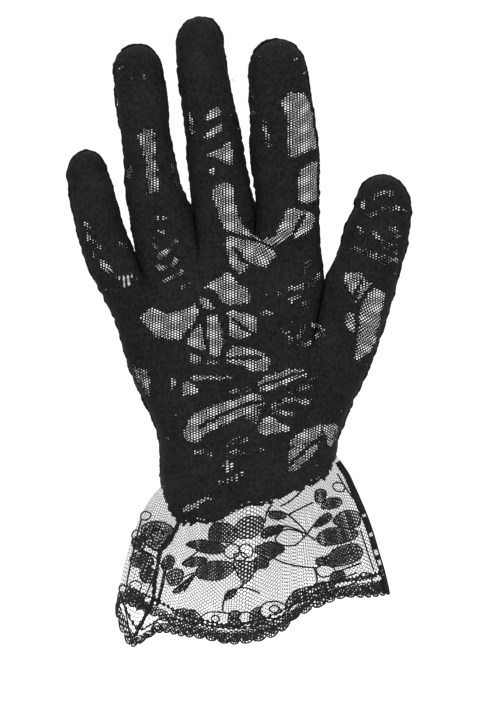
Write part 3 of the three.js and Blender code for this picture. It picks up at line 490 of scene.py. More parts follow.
def dome(share, round_by):
    return np.maximum(0, 1 - np.abs(share) ** round_by) ** (1 / round_by)


def side_point(finger, index, side):
    centres = [s[:2] for s in finger["sections"]] + [finger["tip"][:2]]
    x, z, half, _, bend = finger["sections"][index]
    before, after = centres[max(index - 1, 0)], centres[index + 1]
    along = np.array([after[0] - before[0], after[1] - before[1]])
    along = along / np.linalg.norm(along)
    return [x + along[1] * half * side, bend, z - along[0] * half * side]


def strip_edge(strip, side):
    finger = FINGERS[strip]
    line = strip + (side > 0)
    outline = line in (0, len(FINGERS))
    split = 0 if outline else FINGERS[THUMB]["web"] if line == THUMB else finger["web"]
    hand = [[row["x"][line], row["y"][line], row["z"][line]] for row in HAND_ROWS]
    free = hand[split:finger["web"] + 1] + [
        side_point(finger, i, side) for i in range(len(finger["sections"]))
    ]
    return split, hand[:split + 1], free


EDGES = [(strip_edge(i, -1), strip_edge(i, 1)) for i in range(len(FINGERS))]
LAST_ROW = [f["web"] + len(f["sections"]) for f in FINGERS]


def on_edge(edge, row):
    split, trunk, free = edge
    out = through(free, row - split)
    if split:
        low = row < split
        out[low] = through(trunk, row[low])
    return out


def split_shares(row):
    thumb_web = FINGERS[THUMB]["web"]
    thumb = smooth((row - thumb_web + 1.4 * WEB_REACH) / (1.4 * WEB_REACH))
    return thumb, smooth((row - thumb_web - 1 + WEB_REACH) / WEB_REACH)


def hand_point(strip, across, row, facing):
    """A point of the outer face: across a strip from 0 to 1, at a row, on the palm (1) or back (-1)."""
    finger = FINGERS[strip]
    across, row = (np.atleast_1d(np.asarray(v, float)) for v in (across, row))
    last = LAST_ROW[strip]
    tip_turn = np.maximum(0, row - last) * QUARTER
    full = np.minimum(row, last)
    left, right = (on_edge(edge, full) for edge in EDGES[strip])
    thumb, split = split_shares(row)
    point = left + (right - left) * across[:, None]
    hand_row = np.minimum(full, len(HAND_ROWS) - 1)
    deep = through([r["palm" if facing > 0 else "back"] for r in HAND_ROWS], hand_row)[:, 0]

    def span(first, final):
        start, end = on_edge(EDGES[first][0], hand_row)[:, 0], on_edge(EDGES[final][1], hand_row)[:, 0]
        return deep * dome(np.clip(2 * (point[:, 0] - start) / (end - start) - 1, -1, 1), PALM_ROUND)

    depths = [finger["deep"]] * (finger["web"] + 1) + [s[3] for s in finger["sections"]]
    own = through(depths, full)[:, 0] * dome(2 * across - 1, 2)
    if strip == THUMB:
        depth = span(0, THUMB) * (1 - thumb) + own * thumb
    else:
        joined = span(0, THUMB) * (1 - thumb) + span(0, THUMB - 1) * thumb
        depth = joined * (1 - split) + own * split
    shrink = np.where(tip_turn > 0, np.maximum(0, np.cos(tip_turn)) ** 0.9, 1.0)
    middle = (left + right) / 2
    tip_x, tip_z, tip_bend = finger["tip"]
    tip = np.array([tip_x, tip_bend, tip_z])
    rise = np.sin(tip_turn)[:, None]
    point = (point - middle) * shrink[:, None] + middle * (1 - rise) + tip * rise
    point[:, 1] += facing * depth * shrink
    return point


def hand_normal(strip, across, row, facing):
    step = 0.015
    top = LAST_ROW[strip] + 0.97
    row = np.minimum(row, top)
    low, high = np.clip(across - step, 0, 1), np.clip(across + step, 0, 1)
    sideways = hand_point(strip, high, row, facing) - hand_point(strip, low, row, facing)
    above = hand_point(strip, across, row + step, facing)
    upwards = above - hand_point(strip, across, np.maximum(row - step, 0), facing)
    return unit(np.cross(sideways, upwards) * -facing)


class StripMap:
    """Finds the place on a strip of the glove for a place on the flat lace.

    Every mesh of the net has the same size this way.
    """

    COLUMNS = 41
    STEP = 0.04

    def __init__(self, strip, facing):
        self.strip, self.facing = strip, facing
        self.shares = (1 - np.cos(np.linspace(0, np.pi, self.COLUMNS))) / 2
        self.rows = np.arange(0, LAST_ROW[strip] + 1 + 1e-6, self.STEP)
        grid_share, grid_row = np.meshgrid(self.shares, self.rows, indexing="ij")
        points = hand_point(strip, grid_share.ravel(), grid_row.ravel(), facing)
        self.points = points.reshape(self.COLUMNS, len(self.rows), 3)
        steps = np.linalg.norm(np.diff(self.points, axis=0), axis=2)
        arc = np.vstack([np.zeros(len(self.rows)), np.cumsum(steps, axis=0)])
        self.arc = arc
        self.width = arc[-1]
        height = self.points[:, :, 2].copy()
        rounding = self.rows > LAST_ROW[strip]
        first = int(np.argmax(rounding)) if rounding.any() else len(self.rows)
        climb = np.linalg.norm(np.diff(self.points[:, first - 1:], axis=1), axis=2)
        height[:, first:] = height[:, first - 1:first] + np.cumsum(climb, axis=1)
        self.height = np.maximum.accumulate(height, axis=1)

    def place(self, centre):
        self.flat = self.arc - self.width / 2 + centre

    def column_rows(self, level):
        rows = np.array([np.interp(level, self.height[i], self.rows) for i in range(self.COLUMNS)])
        flat = np.array([np.interp(rows[i], self.rows, self.flat[i]) for i in range(self.COLUMNS)])
        return rows, np.maximum.accumulate(flat)


class HandMap:
    """The five strips of one panel, laid side by side on the flat lace."""

    def __init__(self, facing):
        self.facing = facing
        self.strips = [StripMap(i, facing) for i in range(len(FINGERS))]
        middle = 2
        maps = self.strips

        def centre_x(strip, rows):
            edges = [on_edge(e, np.minimum(rows, LAST_ROW[strip]))[:, 0] for e in EDGES[strip]]
            return (edges[0] + edges[1]) / 2

        for i, own in enumerate(maps):
            web = FINGERS[i]["web"]
            joined = np.minimum(own.rows, web)
            chain = range(min(i, middle), max(i, middle) + 1)
            widths = {k: np.interp(joined, maps[k].rows, maps[k].width) for k in chain}
            offset = sum(widths[k] for k in chain) - (widths[i] + widths[middle]) / 2 if i != middle else 0
            sign = 1 if i > middle else -1
            base = centre_x(middle, joined) + sign * offset
            drift = centre_x(i, np.maximum(own.rows, web)) - centre_x(i, np.full(len(own.rows), float(web)))
            own.place(base + drift)

    def locate(self, strip, flat, level, neighbours=True):
        """(strip, share across, row) for places on the flat lace that all lie at one level."""
        own = self.strips[strip]
        rows, edge = own.column_rows(level)
        share = np.interp(flat, edge, own.shares)
        row = np.interp(flat, edge, rows)
        which = np.full(len(flat), strip)
        if neighbours:
            for side, beyond, at in ((-1, flat < edge[0], 0), (1, flat > edge[-1], -1)):
                split = EDGES[strip][0 if side < 0 else 1][0]
                if split and rows[at] < split and beyond.any():
                    other, other_share, other_row = self.locate(strip + side, flat[beyond], level, False)
                    which[beyond], share[beyond], row[beyond] = other, other_share, other_row
        return which, share, row


def closed_outline(points):
    return through(points, np.arange(0, len(points), 0.2), True)


def inside(x, z, outline):
    """Whether each place lies inside a closed outline."""
    ax, az = outline[:, :1], outline[:, 1:]
    bx, bz = np.roll(ax, -1, axis=0), np.roll(az, -1, axis=0)
    crossed = (az > z) != (bz > z)
    slope = (bx - ax) / np.where(bz == az, 1e-9, bz - az)
    return (crossed & (x < ax + (z - az) * slope)).sum(axis=0) % 2 == 1


def chart_shares(x, z, table, blank, samples=((0.0, 0.0),)):
    """The charted value at each place, shared out where an outline crosses a mesh."""
    found = np.full(np.shape(x), float(blank))
    for _, value, points in table:
        outline = closed_outline(points)
        low, high = outline.min(axis=0) - 1, outline.max(axis=0) + 1
        near = (x > low[0]) & (x < high[0]) & (z > low[1]) & (z < high[1])
        if near.any():
            share = np.mean([inside(x[near] + dx, z[near] + dz, outline) for dx, dz in samples], axis=0)
            found[near] = np.where(share > 0, blank + (value - blank) * share, found[near])
    return found


def curve_distance(x, z, start, pull, end):
    """Distance to a bent line, and the share of the way along it."""
    best = np.full(np.shape(x), 1e9)
    along = np.zeros(np.shape(x))
    for t in np.linspace(0, 1, 25):
        cx = (1 - t) ** 2 * start[0] + 2 * t * (1 - t) * pull[0] + t * t * end[0]
        cz = (1 - t) ** 2 * start[1] + 2 * t * (1 - t) * pull[1] + t * t * end[1]
        away = np.hypot(x - cx, z - cz)
        near = away < best
        best[near] = away[near]
        along[near] = t
    return best, along


def chart_place(points):
    """Where points of the glove lie on the flower chart, which is drawn as the glove looks from the front."""
    near = VIEW_DISTANCE / (VIEW_DISTANCE + points[:, 1])
    return points[:, 0] * near, VIEW_HEIGHT + (points[:, 2] - VIEW_HEIGHT) * near


MESH_SAMPLES = ((0.0, 0.0), (0.5, 0.1), (-0.5, -0.1), (0.15, -0.35), (-0.15, 0.35))


def hand_chart(x, z, spread=0.0):
    """How open each mesh of the hand's lace is, from 0 (dense) to 1 (net), and how far its yarn stands up.

    spread widens the arcs, in millimetres."""
    frayed_x = x + 0.6 * soft_noise(x, z, 2.3, 4.0) + 0.3 * soft_noise(x, z, 1.1, 2.0)
    frayed_z = z + 0.5 * soft_noise(x, z, 2.0, 9.0)
    net = chart_shares(frayed_x, frayed_z, NET_WINDOWS, 0.0, MESH_SAMPLES)
    raised = 1 - net
    for _, half, line in STEMS:
        away, _ = curve_distance(frayed_x, z, *line)
        net = net * smooth((away - half + 0.3) / 0.5)
        raised = np.maximum(raised, 1.6 * smooth((half + 0.2 - away) / 0.4))
    for index, (_, half, line) in enumerate(PETAL_ARCS):
        away, along = curve_distance(x, frayed_z, *line)
        length = math.dist(line[0], line[2])
        dash = noise(np.floor(along * length / 1.5), float(index)) > 0.06
        net = np.maximum(net, np.where((away < half + 0.5 + spread) & (dash | (spread > 0)), 0.76, 0))
        raised = np.maximum(raised, 1.5 * smooth((half + 1.5 - away) / 0.8) * (away > half))
    pinhole = noise(np.round(x * 1.7), np.round(z * 2.1)) > 0.988
    for hole_x, hole_z in PINHOLES:
        net = np.maximum(net, np.where(np.hypot(x - hole_x, z - hole_z) < 0.75 + spread, 0.85, 0))
    return np.where(pinhole & (net < 0.2), 0.5, net), raised


def creases(x, z):
    """Small pulls and creases of the stretched cloth, in millimetres."""
    long_fold = np.exp(-((x - 31 - 0.03 * (z - 60)) / 1.3) ** 2)
    long_fold = long_fold * smooth((z - 36) / 10) * smooth((84 - z) / 8)
    knuckles = np.sin(z * 0.52 + 0.1 * x) * smooth((z - 100) / 20)
    folds = -0.5 * long_fold + 0.14 * knuckles
    return folds + 0.22 * soft_noise(x, z, 11, 2.0) + 0.1 * soft_noise(x, z, 4.5, 6.0)


def lace_mesh(name, cells, corners, net, sink):
    """One mesh of knitted cells. cells holds six corner numbers for each cell, net how open each one is."""
    positions = [corners]
    middle = corners[cells].mean(axis=1)
    opened = net > 0.08
    start = len(corners)
    centre = middle[opened][:, None, :]
    ring = centre + (corners[cells[opened]] - centre) * net[opened][:, None, None]
    positions.append(ring.reshape(-1, 3))
    inner = start + np.arange(len(ring) * 6).reshape(-1, 6)
    outer = cells[opened]
    after = np.roll(np.arange(6), -1)
    quads = np.stack([outer, outer[:, after], inner[:, after], inner], axis=2).reshape(-1, 4)
    start += len(ring) * 6
    closed = cells[~opened]
    positions.append(middle[~opened] - sink[~opened])
    hub = start + np.arange(len(closed))
    fans = np.stack([closed, closed[:, after], np.repeat(hub[:, None], 6, axis=1)], axis=2).reshape(-1, 3)
    points = np.vstack(positions) * MM
    mesh = bpy.data.meshes.new(name)
    mesh.from_pydata(points.tolist(), [], quads.tolist() + fans.tolist())
    mesh.validate()
    mesh.update()
    mesh.shade_smooth()
    piece = bpy.data.objects.new(name, mesh)
    bpy.context.scene.collection.objects.link(piece)
    return piece


HEX_CORNERS = [(2, 0), (1, 1), (-1, 1), (-2, 0), (-1, -1), (1, -1)]


def knit_hand(name, facing, cell, strand):
    """The lace of one panel: a flat net of hexagons laid over the strips."""
    hand = HandMap(facing)
    pitch, half_high = cell[0] / 4, cell[1] / 2
    corner_numbers = {}
    keys_by_level = {}
    cells, owners = [], []
    for strip in range(len(FINGERS)):
        own = hand.strips[strip]
        top = int(own.height.max() / half_high)
        for level in range(0, top + 1):
            height = level * half_high
            rows, edge = own.column_rows(height)
            if edge[-1] - edge[0] < 0.2:
                continue
            first, final = int(np.ceil(edge[0] / pitch / 3)), int(np.floor(edge[-1] / pitch / 3))
            for column in range(first, final + 1):
                if (column + level) % 2:
                    continue
                share = np.interp(3 * column * pitch, edge, own.shares)
                row = np.interp(3 * column * pitch, edge, rows)
                if row <= 0.001 or row >= LAST_ROW[strip] + 0.999:
                    continue
                numbers = []
                for across, up in HEX_CORNERS:
                    m, n = 3 * column + across, level + up
                    joined = row < (FINGERS[THUMB]["web"] if strip >= THUMB - 1 else 4) - 0.02
                    key = (m, n, -1 if joined else strip)
                    if key not in corner_numbers:
                        corner_numbers[key] = len(corner_numbers)
                        keys_by_level.setdefault((strip, n), []).append((corner_numbers[key], m))
                    numbers.append(corner_numbers[key])
                cells.append(numbers)
                owners.append(strip)
    count = len(corner_numbers)
    points, normals = np.zeros((count, 3)), np.zeros((count, 3))
    found = {k: ([], [], []) for k in range(len(FINGERS))}
    for (strip, level), entries in keys_by_level.items():
        numbers = np.array([e[0] for e in entries])
        flat = np.array([e[1] for e in entries]) * pitch
        which, share, row = hand.locate(strip, flat, level * half_high)
        for k in np.unique(which):
            mine = which == k
            for store, values in zip(found[k], (numbers, share, row)):
                store.append(values[mine])
    for k, (numbers, share, row) in found.items():
        numbers, share, row = (np.concatenate(v) for v in (numbers, share, row))
        points[numbers] = hand_point(k, share, row, facing)
        normals[numbers] = hand_normal(k, share, row, facing)
    cells = np.array(cells)
    middle = points[cells].mean(axis=1)
    net, _ = hand_chart(*chart_place(middle), spread=0.9 if facing > 0 else 0.0)
    _, corner_raised = hand_chart(*chart_place(points))
    lift = creases(points[:, 0], points[:, 2]) * (1 if facing < 0 else 0.8) + 0.16 * corner_raised
    points = points + normals * lift[:, None]
    open_share = net * (1 - strand / cell[1])
    cell_normals = unit(normals[cells].mean(axis=1))
    sink = cell_normals * (0.18 + 0.3 * noise(middle[:, 0], middle[:, 2]))[:, None]
    return lace_mesh(name, cells, points, open_share, sink)


def place_in_turn(rows, turn):
    turns = np.array([r[0] for r in rows] + [rows[0][0] + 360.0])
    whole = np.mod(turn, 360)
    low = np.clip(np.searchsorted(turns, whole, side="right") - 1, 0, len(rows) - 1)
    return low + (whole - turns[low]) / (turns[low + 1] - turns[low])


def columns_at(rows, turn):
    return through([r[1:] for r in rows], place_in_turn(rows, turn), True)


def wrist_point(turn, inset, drop):
    hem = HAND_ROWS[0]
    left, right = hem["x"][0], hem["x"][-1]
    angle = np.radians(turn)
    bulge = [np.sign(v) * np.abs(v) ** (2 / PALM_ROUND) for v in (np.sin(angle), np.cos(angle))]
    x = (left + right) / 2 + ((right - left) / 2 - inset) * bulge[0]
    y = -(hem["back"] - inset) * bulge[1]
    rise = (hem["z"][-1] - hem["z"][0]) / (right - left)
    return np.stack([x, y, hem["z"][0] + rise * (x - left) - drop], axis=-1)


def ruffle_point(turn, share):
    top = wrist_point(turn, 3.5, 3.0)
    fold = columns_at(RUFFLE_FOLDS, turn)
    end, out, down = fold[:, :3], fold[:, 3:4], fold[:, 4:5]
    pull = top + (end - top) * out
    pull[:, 2:] = top[:, 2:] + (end[:, 2:] - top[:, 2:]) * down
    s = share[:, None]
    point = (1 - s) ** 2 * top + 2 * s * (1 - s) * pull + s * s * end
    return point


def ring_normal(surface, turn, share):
    sideways = surface(turn + 0.8, share) - surface(turn - 0.8, share)
    low, high = np.clip(share - 0.02, 0, 1), np.clip(share + 0.02, 0, 1)
    return unit(np.cross(surface(turn, high) - surface(turn, low), sideways))


def ruffle_surface(turn, share):
    """The ruffle's surface with its small gathers, which grow out of the hem."""
    place = ruffle_point(turn, share)
    out = ring_normal(ruffle_point, turn, share)
    angle = np.radians(turn)
    fine = np.sin(31 * angle + 2.2 * np.sin(3 * angle)) * np.maximum(0, 1 - share) ** 1.5
    wide = np.sin(11 * angle + 1.7 * np.sin(2 * angle)) * share * (1 - 0.3 * share)
    return place + out * (0.6 * fine + 0.75 * wide)[:, None]


def scallop_edge(turn):
    """The share of the ruffle at which its scalloped edge ends, from one shell to the next."""
    place = 2 * np.mod(turn / 360 * SCALLOPS, 1) - 1
    return 1 - SHELL_DEEP * (1 - np.sqrt(np.maximum(0, 1 - place * place)))


def knit_ring(name, surface, columns, rows, chart, strand):
    """Lace knitted round the wrist: a net of hexagons between two edges."""
    turn_step, share_step = 360 / (3 * columns), 1 / (2 * rows)
    numbers, cells, where = {}, [], []
    for column in range(columns):
        for level in range(1, 2 * rows):
            if (column + level) % 2:
                continue
            loop = []
            for across, up in HEX_CORNERS:
                key = ((3 * column + across) % (3 * columns), level + up)
                loop.append(numbers.setdefault(key, len(numbers)))
            cells.append(loop)
            where.append((3 * column * turn_step, level * share_step))
    keys = np.array(list(numbers.keys()), float)
    turn, share = keys[:, 0] * turn_step, np.clip(keys[:, 1] * share_step, 0, 1)
    points = surface(turn, share)
    where = np.array(where)
    middle = points[np.array(cells)].mean(axis=1)
    net, raised = chart(where[:, 0], where[:, 1], middle)
    keep = net < 1.5
    cells = np.array(cells)[keep]
    normals = ring_normal(surface, where[keep, 0], np.clip(where[keep, 1], 0.02, 0.98))
    open_share = net[keep] * (1 - strand)
    sink = normals * 0.08 - normals * (0.16 * raised[keep])[:, None]
    return lace_mesh(name, cells, points, open_share, sink)


def ruffle_chart(turn, share, middle):
    """How open each mesh of the ruffle is. 2 leaves the mesh out."""
    x, z = chart_place(middle)
    net = chart_shares(x, z, RUFFLE_PETALS, 1.0, MESH_SAMPLES)
    for _, half, line in PLEATS:
        path = through(line, np.linspace(0, len(line) - 1, 40))
        away = np.min(np.hypot(x[:, None] - path[:, 0], z[:, None] - path[:, 1]), axis=1)
        net = np.where((away < half) & (middle[:, 1] < 12), 0.3, net)
    net = np.where(share > SHELL_BAND, 0.5, net)
    net = np.where(np.abs(share - BORDER_LINE) < 0.008, 0.3, net)
    net = np.where(share > scallop_edge(turn), 2.0, net)
    return net, np.zeros(len(net))


class RuffleFace:
    """Finds the ruffle's cloth behind or before a place of the chart, on its front or its back."""

    def __init__(self, first, last):
        self.side = 1 if first < 0 else -1
        turn, share = np.meshgrid(np.arange(first, last, 0.6), np.linspace(0.02, 1, 110), indexing="ij")
        self.points = ruffle_surface(turn.ravel(), share.ravel())
        self.chart = np.stack(chart_place(self.points), axis=1)
        self.outs = ring_normal(ruffle_surface, turn.ravel(), share.ravel())

    def lay(self, line):
        """The path for a line of x and z, its outward directions, and where it lies on the foremost cloth."""
        away = (self.chart[:, 0] - line[:, :1]) ** 2 + (self.chart[:, 1] - line[:, 1:]) ** 2
        nearest = np.argpartition(away, 9, axis=1)[:, :9]
        gap = np.take_along_axis(away, nearest, axis=1)
        depth = np.where(gap < 0.6, self.side * self.points[nearest, 1], FAR_AWAY)
        hidden = depth > depth.min(axis=1, keepdims=True) + 2.5
        gap = np.where(hidden, FAR_AWAY, gap)
        weight = (1 / (gap + 0.02) ** 2)[..., None]
        place = (self.points[nearest] * weight).sum(axis=1) / weight.sum(axis=1)
        out = unit((self.outs[nearest] * weight).sum(axis=1))
        far = (VIEW_DISTANCE + place[:, 1]) / VIEW_DISTANCE
        path = np.stack(
            [line[:, 0] * far, place[:, 1], VIEW_HEIGHT + (line[:, 1] - VIEW_HEIGHT) * far], axis=1,
        )
        return path, out, gap.min(axis=1) < 0.5


def even_line(points, step):
    arc = np.concatenate([[0], np.cumsum(np.linalg.norm(np.diff(points, axis=0), axis=1))])
    at = np.linspace(0, arc[-1], max(3, int(arc[-1] / step) + 2))
    return np.stack([np.interp(at, arc, points[:, k]) for k in range(points.shape[1])], axis=1)


def bent_line(start, pull, end):
    t = np.linspace(0, 1, 20)[:, None]
    return (1 - t) ** 2 * np.array(start) + 2 * t * (1 - t) * np.array(pull) + t * t * np.array(end)


def ruffle_lines():
    """The lines of the ruffle's flowers as x and z, each with the radius of its cord."""
    for _, _, points in RUFFLE_PETALS:
        outline = closed_outline(points)
        outline = np.vstack([outline, outline[:1]])
        yield outline, 0.32
        span = np.ptp(outline, axis=0).min()
        centre = outline.mean(axis=0)
        if span > 4:
            yield centre + (outline - centre) * (0.45, 0.5), 0.14
        if span > 3:
            long_way = outline[np.argmax(np.hypot(*(outline - centre).T))]
            yield np.array([long_way, centre * 0.6 + long_way * 0.4, centre * 1.5 - long_way * 0.5]), 0.14
    for _, points in RUFFLE_RINGS:
        outline = closed_outline(points)
        yield np.vstack([outline, outline[:1]]), 0.33
    for _, line in RUFFLE_VINES:
        yield bent_line(*line), 0.35
    for _, _, line in PLEATS:
        path = through(line, np.linspace(0, len(line) - 1, 40))
        for side in (-0.5, 0.0, 0.5):
            yield path + (side, 0), 0.2


def close_runs(path, lies):
    """The parts of a laid line whose neighbouring points lie close together on the cloth."""
    near = lies[1:] & lies[:-1] & (np.linalg.norm(np.diff(path, axis=0), axis=1) < 2.2)
    return [run for run in np.split(np.arange(len(path)), np.flatnonzero(~near) + 1) if len(run) > 3]


def ruffle_cords():
    """All the cords on the ruffle: its flowers on both faces, the border line and the shells of its edge."""
    parts = []
    for face in (RuffleFace(-118, 96), RuffleFace(96, 242)):
        for line, radius in ruffle_lines():
            path, out, lies = face.lay(even_line(line, 0.55))
            if lies.mean() > 0.5:
                for run in close_runs(path, lies):
                    parts.append(tube_parts(path[run] + out[run] * 0.12, out[run], radius, 5))
    for share, radius, waves in ((BORDER_LINE, 0.34, 0.003), (SHELL_BAND, 0.2, 0.004)):
        turn = np.linspace(0, 360, 721)
        height = share + waves * np.cos(np.radians(turn * SCALLOPS))
        parts.append(
            tube_parts(ruffle_surface(turn, height), ring_normal(ruffle_surface, turn, height), radius, 5)
        )
    across = np.linspace(-1, 1, 11)
    for shell in range(SCALLOPS):
        middle, half = (shell + 0.5) * 360 / SCALLOPS, 180 / SCALLOPS
        turn = middle + half * across
        height = scallop_edge(turn)
        parts.append(
            tube_parts(ruffle_surface(turn, height), ring_normal(ruffle_surface, turn, height), 0.34, 5)
        )
        for lean in (-0.62, -0.22, 0.22, 0.62):
            rib_turn = middle + half * lean * np.array([0.35, 0.7, 1.0])
            foot = SHELL_BAND + 0.004
            rib_height = foot + (scallop_edge(rib_turn[-1:])[0] - foot) * np.array([0, 0.55, 1.0])
            place = ruffle_surface(rib_turn, rib_height)
            parts.append(tube_parts(place, ring_normal(ruffle_surface, rib_turn, rib_height), 0.15, 4))
    return parts


def hem_cloth(turn, share):
    """The lower end of the hand's lace, which is gathered over the top of the ruffle."""
    drop = HEM_RISE + (HEM_DEEP - HEM_RISE) * share
    angle = np.radians(turn)
    low = smooth((share - 0.25) / 0.75)
    uneven = 23 * angle + 3 * np.sin(2 * angle) + 1.5 * np.sin(5 * angle)
    gather = np.sin(uneven) + 0.5 * np.sin(61 * angle + 5 * share)
    out = 0.25 + 0.35 * low + 0.22 * gather * (0.25 + low) + 0.25 * soft_noise(turn, 60 * share, 7.0, 2.0)
    return wrist_point(turn, -out, drop)


def hem_chart(turn, share, middle):
    drop = HEM_RISE + (HEM_DEEP - HEM_RISE) * share
    ragged = 0.9 * soft_noise(turn, turn * 0, 5.0, 3.0) + 0.8 * soft_noise(turn, turn * 0, 1.9, 5.0)
    net, raised = hand_chart(*chart_place(middle))
    edge = columns_at(HEM_DROPS, turn)[:, 0] + ragged - drop
    frayed = (edge < 2.2) & (noise(np.round(turn), np.round(share * 22)) > 0.86)
    net = np.where(frayed, 0.5, net)
    return np.where(edge < 0, 2.0, net), raised


def tube_parts(path, outs, radius, sides=8, squash=1.0):
    """Points and faces of a cord along a path. outs are the directions that its first side faces."""
    path, outs = np.asarray(path, float), unit(np.asarray(outs, float))
    ahead = unit(np.gradient(path, axis=0))
    side = unit(np.cross(ahead, outs))
    outs = np.cross(side, ahead)
    turn = np.arange(sides) * 2 * np.pi / sides
    radius = np.broadcast_to(radius, (len(path), sides))
    offset = np.cos(turn)[:, None] * outs[:, None] + squash * np.sin(turn)[:, None] * side[:, None]
    ring = path[:, None] + radius[..., None] * offset
    grid = np.arange(len(path) * sides).reshape(len(path), sides)
    beside = np.roll(grid, -1, axis=1)
    faces = np.stack([grid[:-1], grid[1:], beside[1:], beside[:-1]], axis=2).reshape(-1, 4).tolist()
    faces += [grid[0].tolist(), grid[-1][::-1].tolist()]
    return ring.reshape(-1, 3), faces


def cords(name, parts):
    """One piece made of many cords."""
    points, faces, start = [], [], 0
    for part_points, part_faces in parts:
        points.append(part_points)
        faces += [[start + k for k in face] for face in part_faces]
        start += len(part_points)
    mesh = bpy.data.meshes.new(name)
    mesh.from_pydata((np.vstack(points) * MM).tolist(), [], faces)
    mesh.shade_smooth()
    piece = bpy.data.objects.new(name, mesh)
    bpy.context.scene.collection.objects.link(piece)
    return piece


def fuzz(points, outs, count, length, seed):
    """Short loose fibres along a seam, standing the way that outs points."""
    parts = []
    for index in range(count):
        at = int(noise(float(index), seed) * (len(points) - 2))
        ahead = unit(points[at + 1] - points[at])
        lean, roll, reach = (2 * float(noise(float(index), seed + k)) - 1 for k in (1.0, 2.0, 3.0))
        way = unit(outs[at] + 0.9 * lean * ahead + 0.9 * roll * np.cross(outs[at], ahead))
        long = length * (0.65 + 0.35 * reach)
        bend = ahead * 0.4 * long * lean
        steps = np.array([0, 0.5, 1.0])[:, None]
        path = points[at] + way * long * steps + bend * steps ** 2
        parts.append(
            tube_parts(path, np.tile(np.cross(way, ahead) + 0.01, (3, 1)), [[0.07], [0.06], [0.03]], 3)
        )
    return parts


def even_path(points, outs, step):
    steps = np.linalg.norm(np.diff(points, axis=0), axis=1)
    arc = np.concatenate([[0], np.cumsum(steps)])
    at = np.linspace(0, arc[-1], int(arc[-1] / step) + 2)
    both = [np.stack([np.interp(at, arc, v[:, k]) for k in range(3)], axis=1) for v in (points, outs)]
    return both[0], unit(both[1]), at


def outline_path():
    """The line of the side seam: up each finger, over its tip and down to the web.

    The directions that come with it point into the glove.
    """
    points, outs = [], []
    for strip, finger in enumerate(FINGERS):
        top = LAST_ROW[strip] + 1
        for side in (0, 1):
            split = EDGES[strip][side][0]
            rows = np.arange(split, top, 0.05)
            if side:
                rows = rows[::-1]
            share = np.full(len(rows), float(side))
            place = hand_point(strip, share, rows, 1)
            ahead = unit(np.gradient(place, axis=0))
            out = np.cross(ahead, np.array([0.0, 1.0, 0.0]))
            points.append(place)
            outs.append(-out)
    return np.vstack(points), np.vstack(outs)


def loops(points, outs, fray):
    """A row of small net loops beside one stretch of the seam, on the side that outs points to."""
    x, z = points[:, 0], points[:, 2]
    near = (np.abs(x - fray["x"]) < fray["reach"]) & (z > fray["low"]) & (z < fray["high"])
    place, out, _ = even_path(points[near], outs[near], 0.2)
    ahead = unit(np.gradient(place, axis=0))
    turn = np.arange(len(place))[:, None] * 0.2 / 0.23
    wide = 0.65 * (1 + 0.4 * soft_noise(turn, turn * 0, 9.0, 3.0))
    path = place + out * (0.55 + wide * (1 - np.cos(turn))) + ahead * 0.75 * np.sin(turn)
    return tube_parts(path, np.tile([0.0, -1.0, 0.0], (len(path), 1)), 0.13, 4)


class Signal:
    """A node socket that can be used in sums."""

    def __init__(self, tree, socket):
        self.tree, self.socket = tree, socket

    def _join(self, operation, first, second):
        node = self.tree.nodes.new("ShaderNodeMath")
        node.operation = operation
        for socket, value in zip(node.inputs, (first, second)):
            if isinstance(value, Signal):
                self.tree.links.new(value.socket, socket)
            else:
                socket.default_value = value
        return Signal(self.tree, node.outputs[0])

    def __add__(self, other):
        return self._join("ADD", self, other)

    def __radd__(self, other):
        return self._join("ADD", other, self)

    def __sub__(self, other):
        return self._join("SUBTRACT", self, other)

    def __rsub__(self, other):
        return self._join("SUBTRACT", other, self)

    def __mul__(self, other):
        return self._join("MULTIPLY", self, other)

    def __rmul__(self, other):
        return self._join("MULTIPLY", other, self)


class Finish:
    """A material and its nodes."""

    def __init__(self, name, **constants):
        self.material = bpy.data.materials.new(name)
        self.material.use_nodes = True
        self.tree = self.material.node_tree
        self.shader = self.tree.nodes["Principled BSDF"]
        for socket, value in constants.items():
            self.shader.inputs[socket.replace("_", " ")].default_value = value

    def node(self, kind, settings=None, **sockets):
        made = self.tree.nodes.new(kind)
        for key, value in (settings or {}).items():
            setattr(made, key, value)
        for key, value in sockets.items():
            socket = made.inputs[key.replace("_", " ")]
            if isinstance(value, Signal):
                self.tree.links.new(value.socket, socket)
            else:
                socket.default_value = value
        return made

    def signal(self, made, output=0):
        return Signal(self.tree, made.outputs[output])

    def feed(self, socket, signal):
        self.tree.links.new(signal.socket, self.shader.inputs[socket])


def yarn_finish(name, dark, light, roughness, scale, depth, sheen):
    finish = Finish(
        name, Specular_IOR_Level=0.07, Sheen_Weight=sheen, Sheen_Roughness=0.45,
        Sheen_Tint=(0.55, 0.53, 0.52, 1),
    )
    place = finish.signal(finish.node("ShaderNodeTexCoord"), "Object")
    cloud = finish.signal(finish.node("ShaderNodeTexNoise", Vector=place, Scale=70.0, Detail=3.0), "Fac")
    mottle = finish.signal(finish.node("ShaderNodeTexNoise", Vector=place, Scale=850.0, Detail=2.0), "Fac")
    yarn = finish.signal(finish.node("ShaderNodeTexNoise", Vector=place, Scale=scale, Detail=2.0), "Fac")
    # Noise mixes the light colour into the dark one: random tone of the yarn, plus painted highlight and
    # shade standing in for the knit's relief.
    colour = finish.node("ShaderNodeMix", {"data_type": "RGBA"})
    colour.inputs[6].default_value, colour.inputs[7].default_value = (*dark, 1), (*light, 1)
    finish.tree.links.new((cloud * 0.9 + mottle * 1.9 + yarn * 0.5 - 1.2).socket, colour.inputs[0])
    finish.tree.links.new(colour.outputs[2], finish.shader.inputs["Base Color"])
    finish.feed("Roughness", cloud * 0.16 + (roughness - 0.08))
    bump = finish.signal(finish.node("ShaderNodeBump", Height=yarn, Strength=0.5, Distance=depth * MM))
    finish.feed("Normal", bump)
    return finish.material


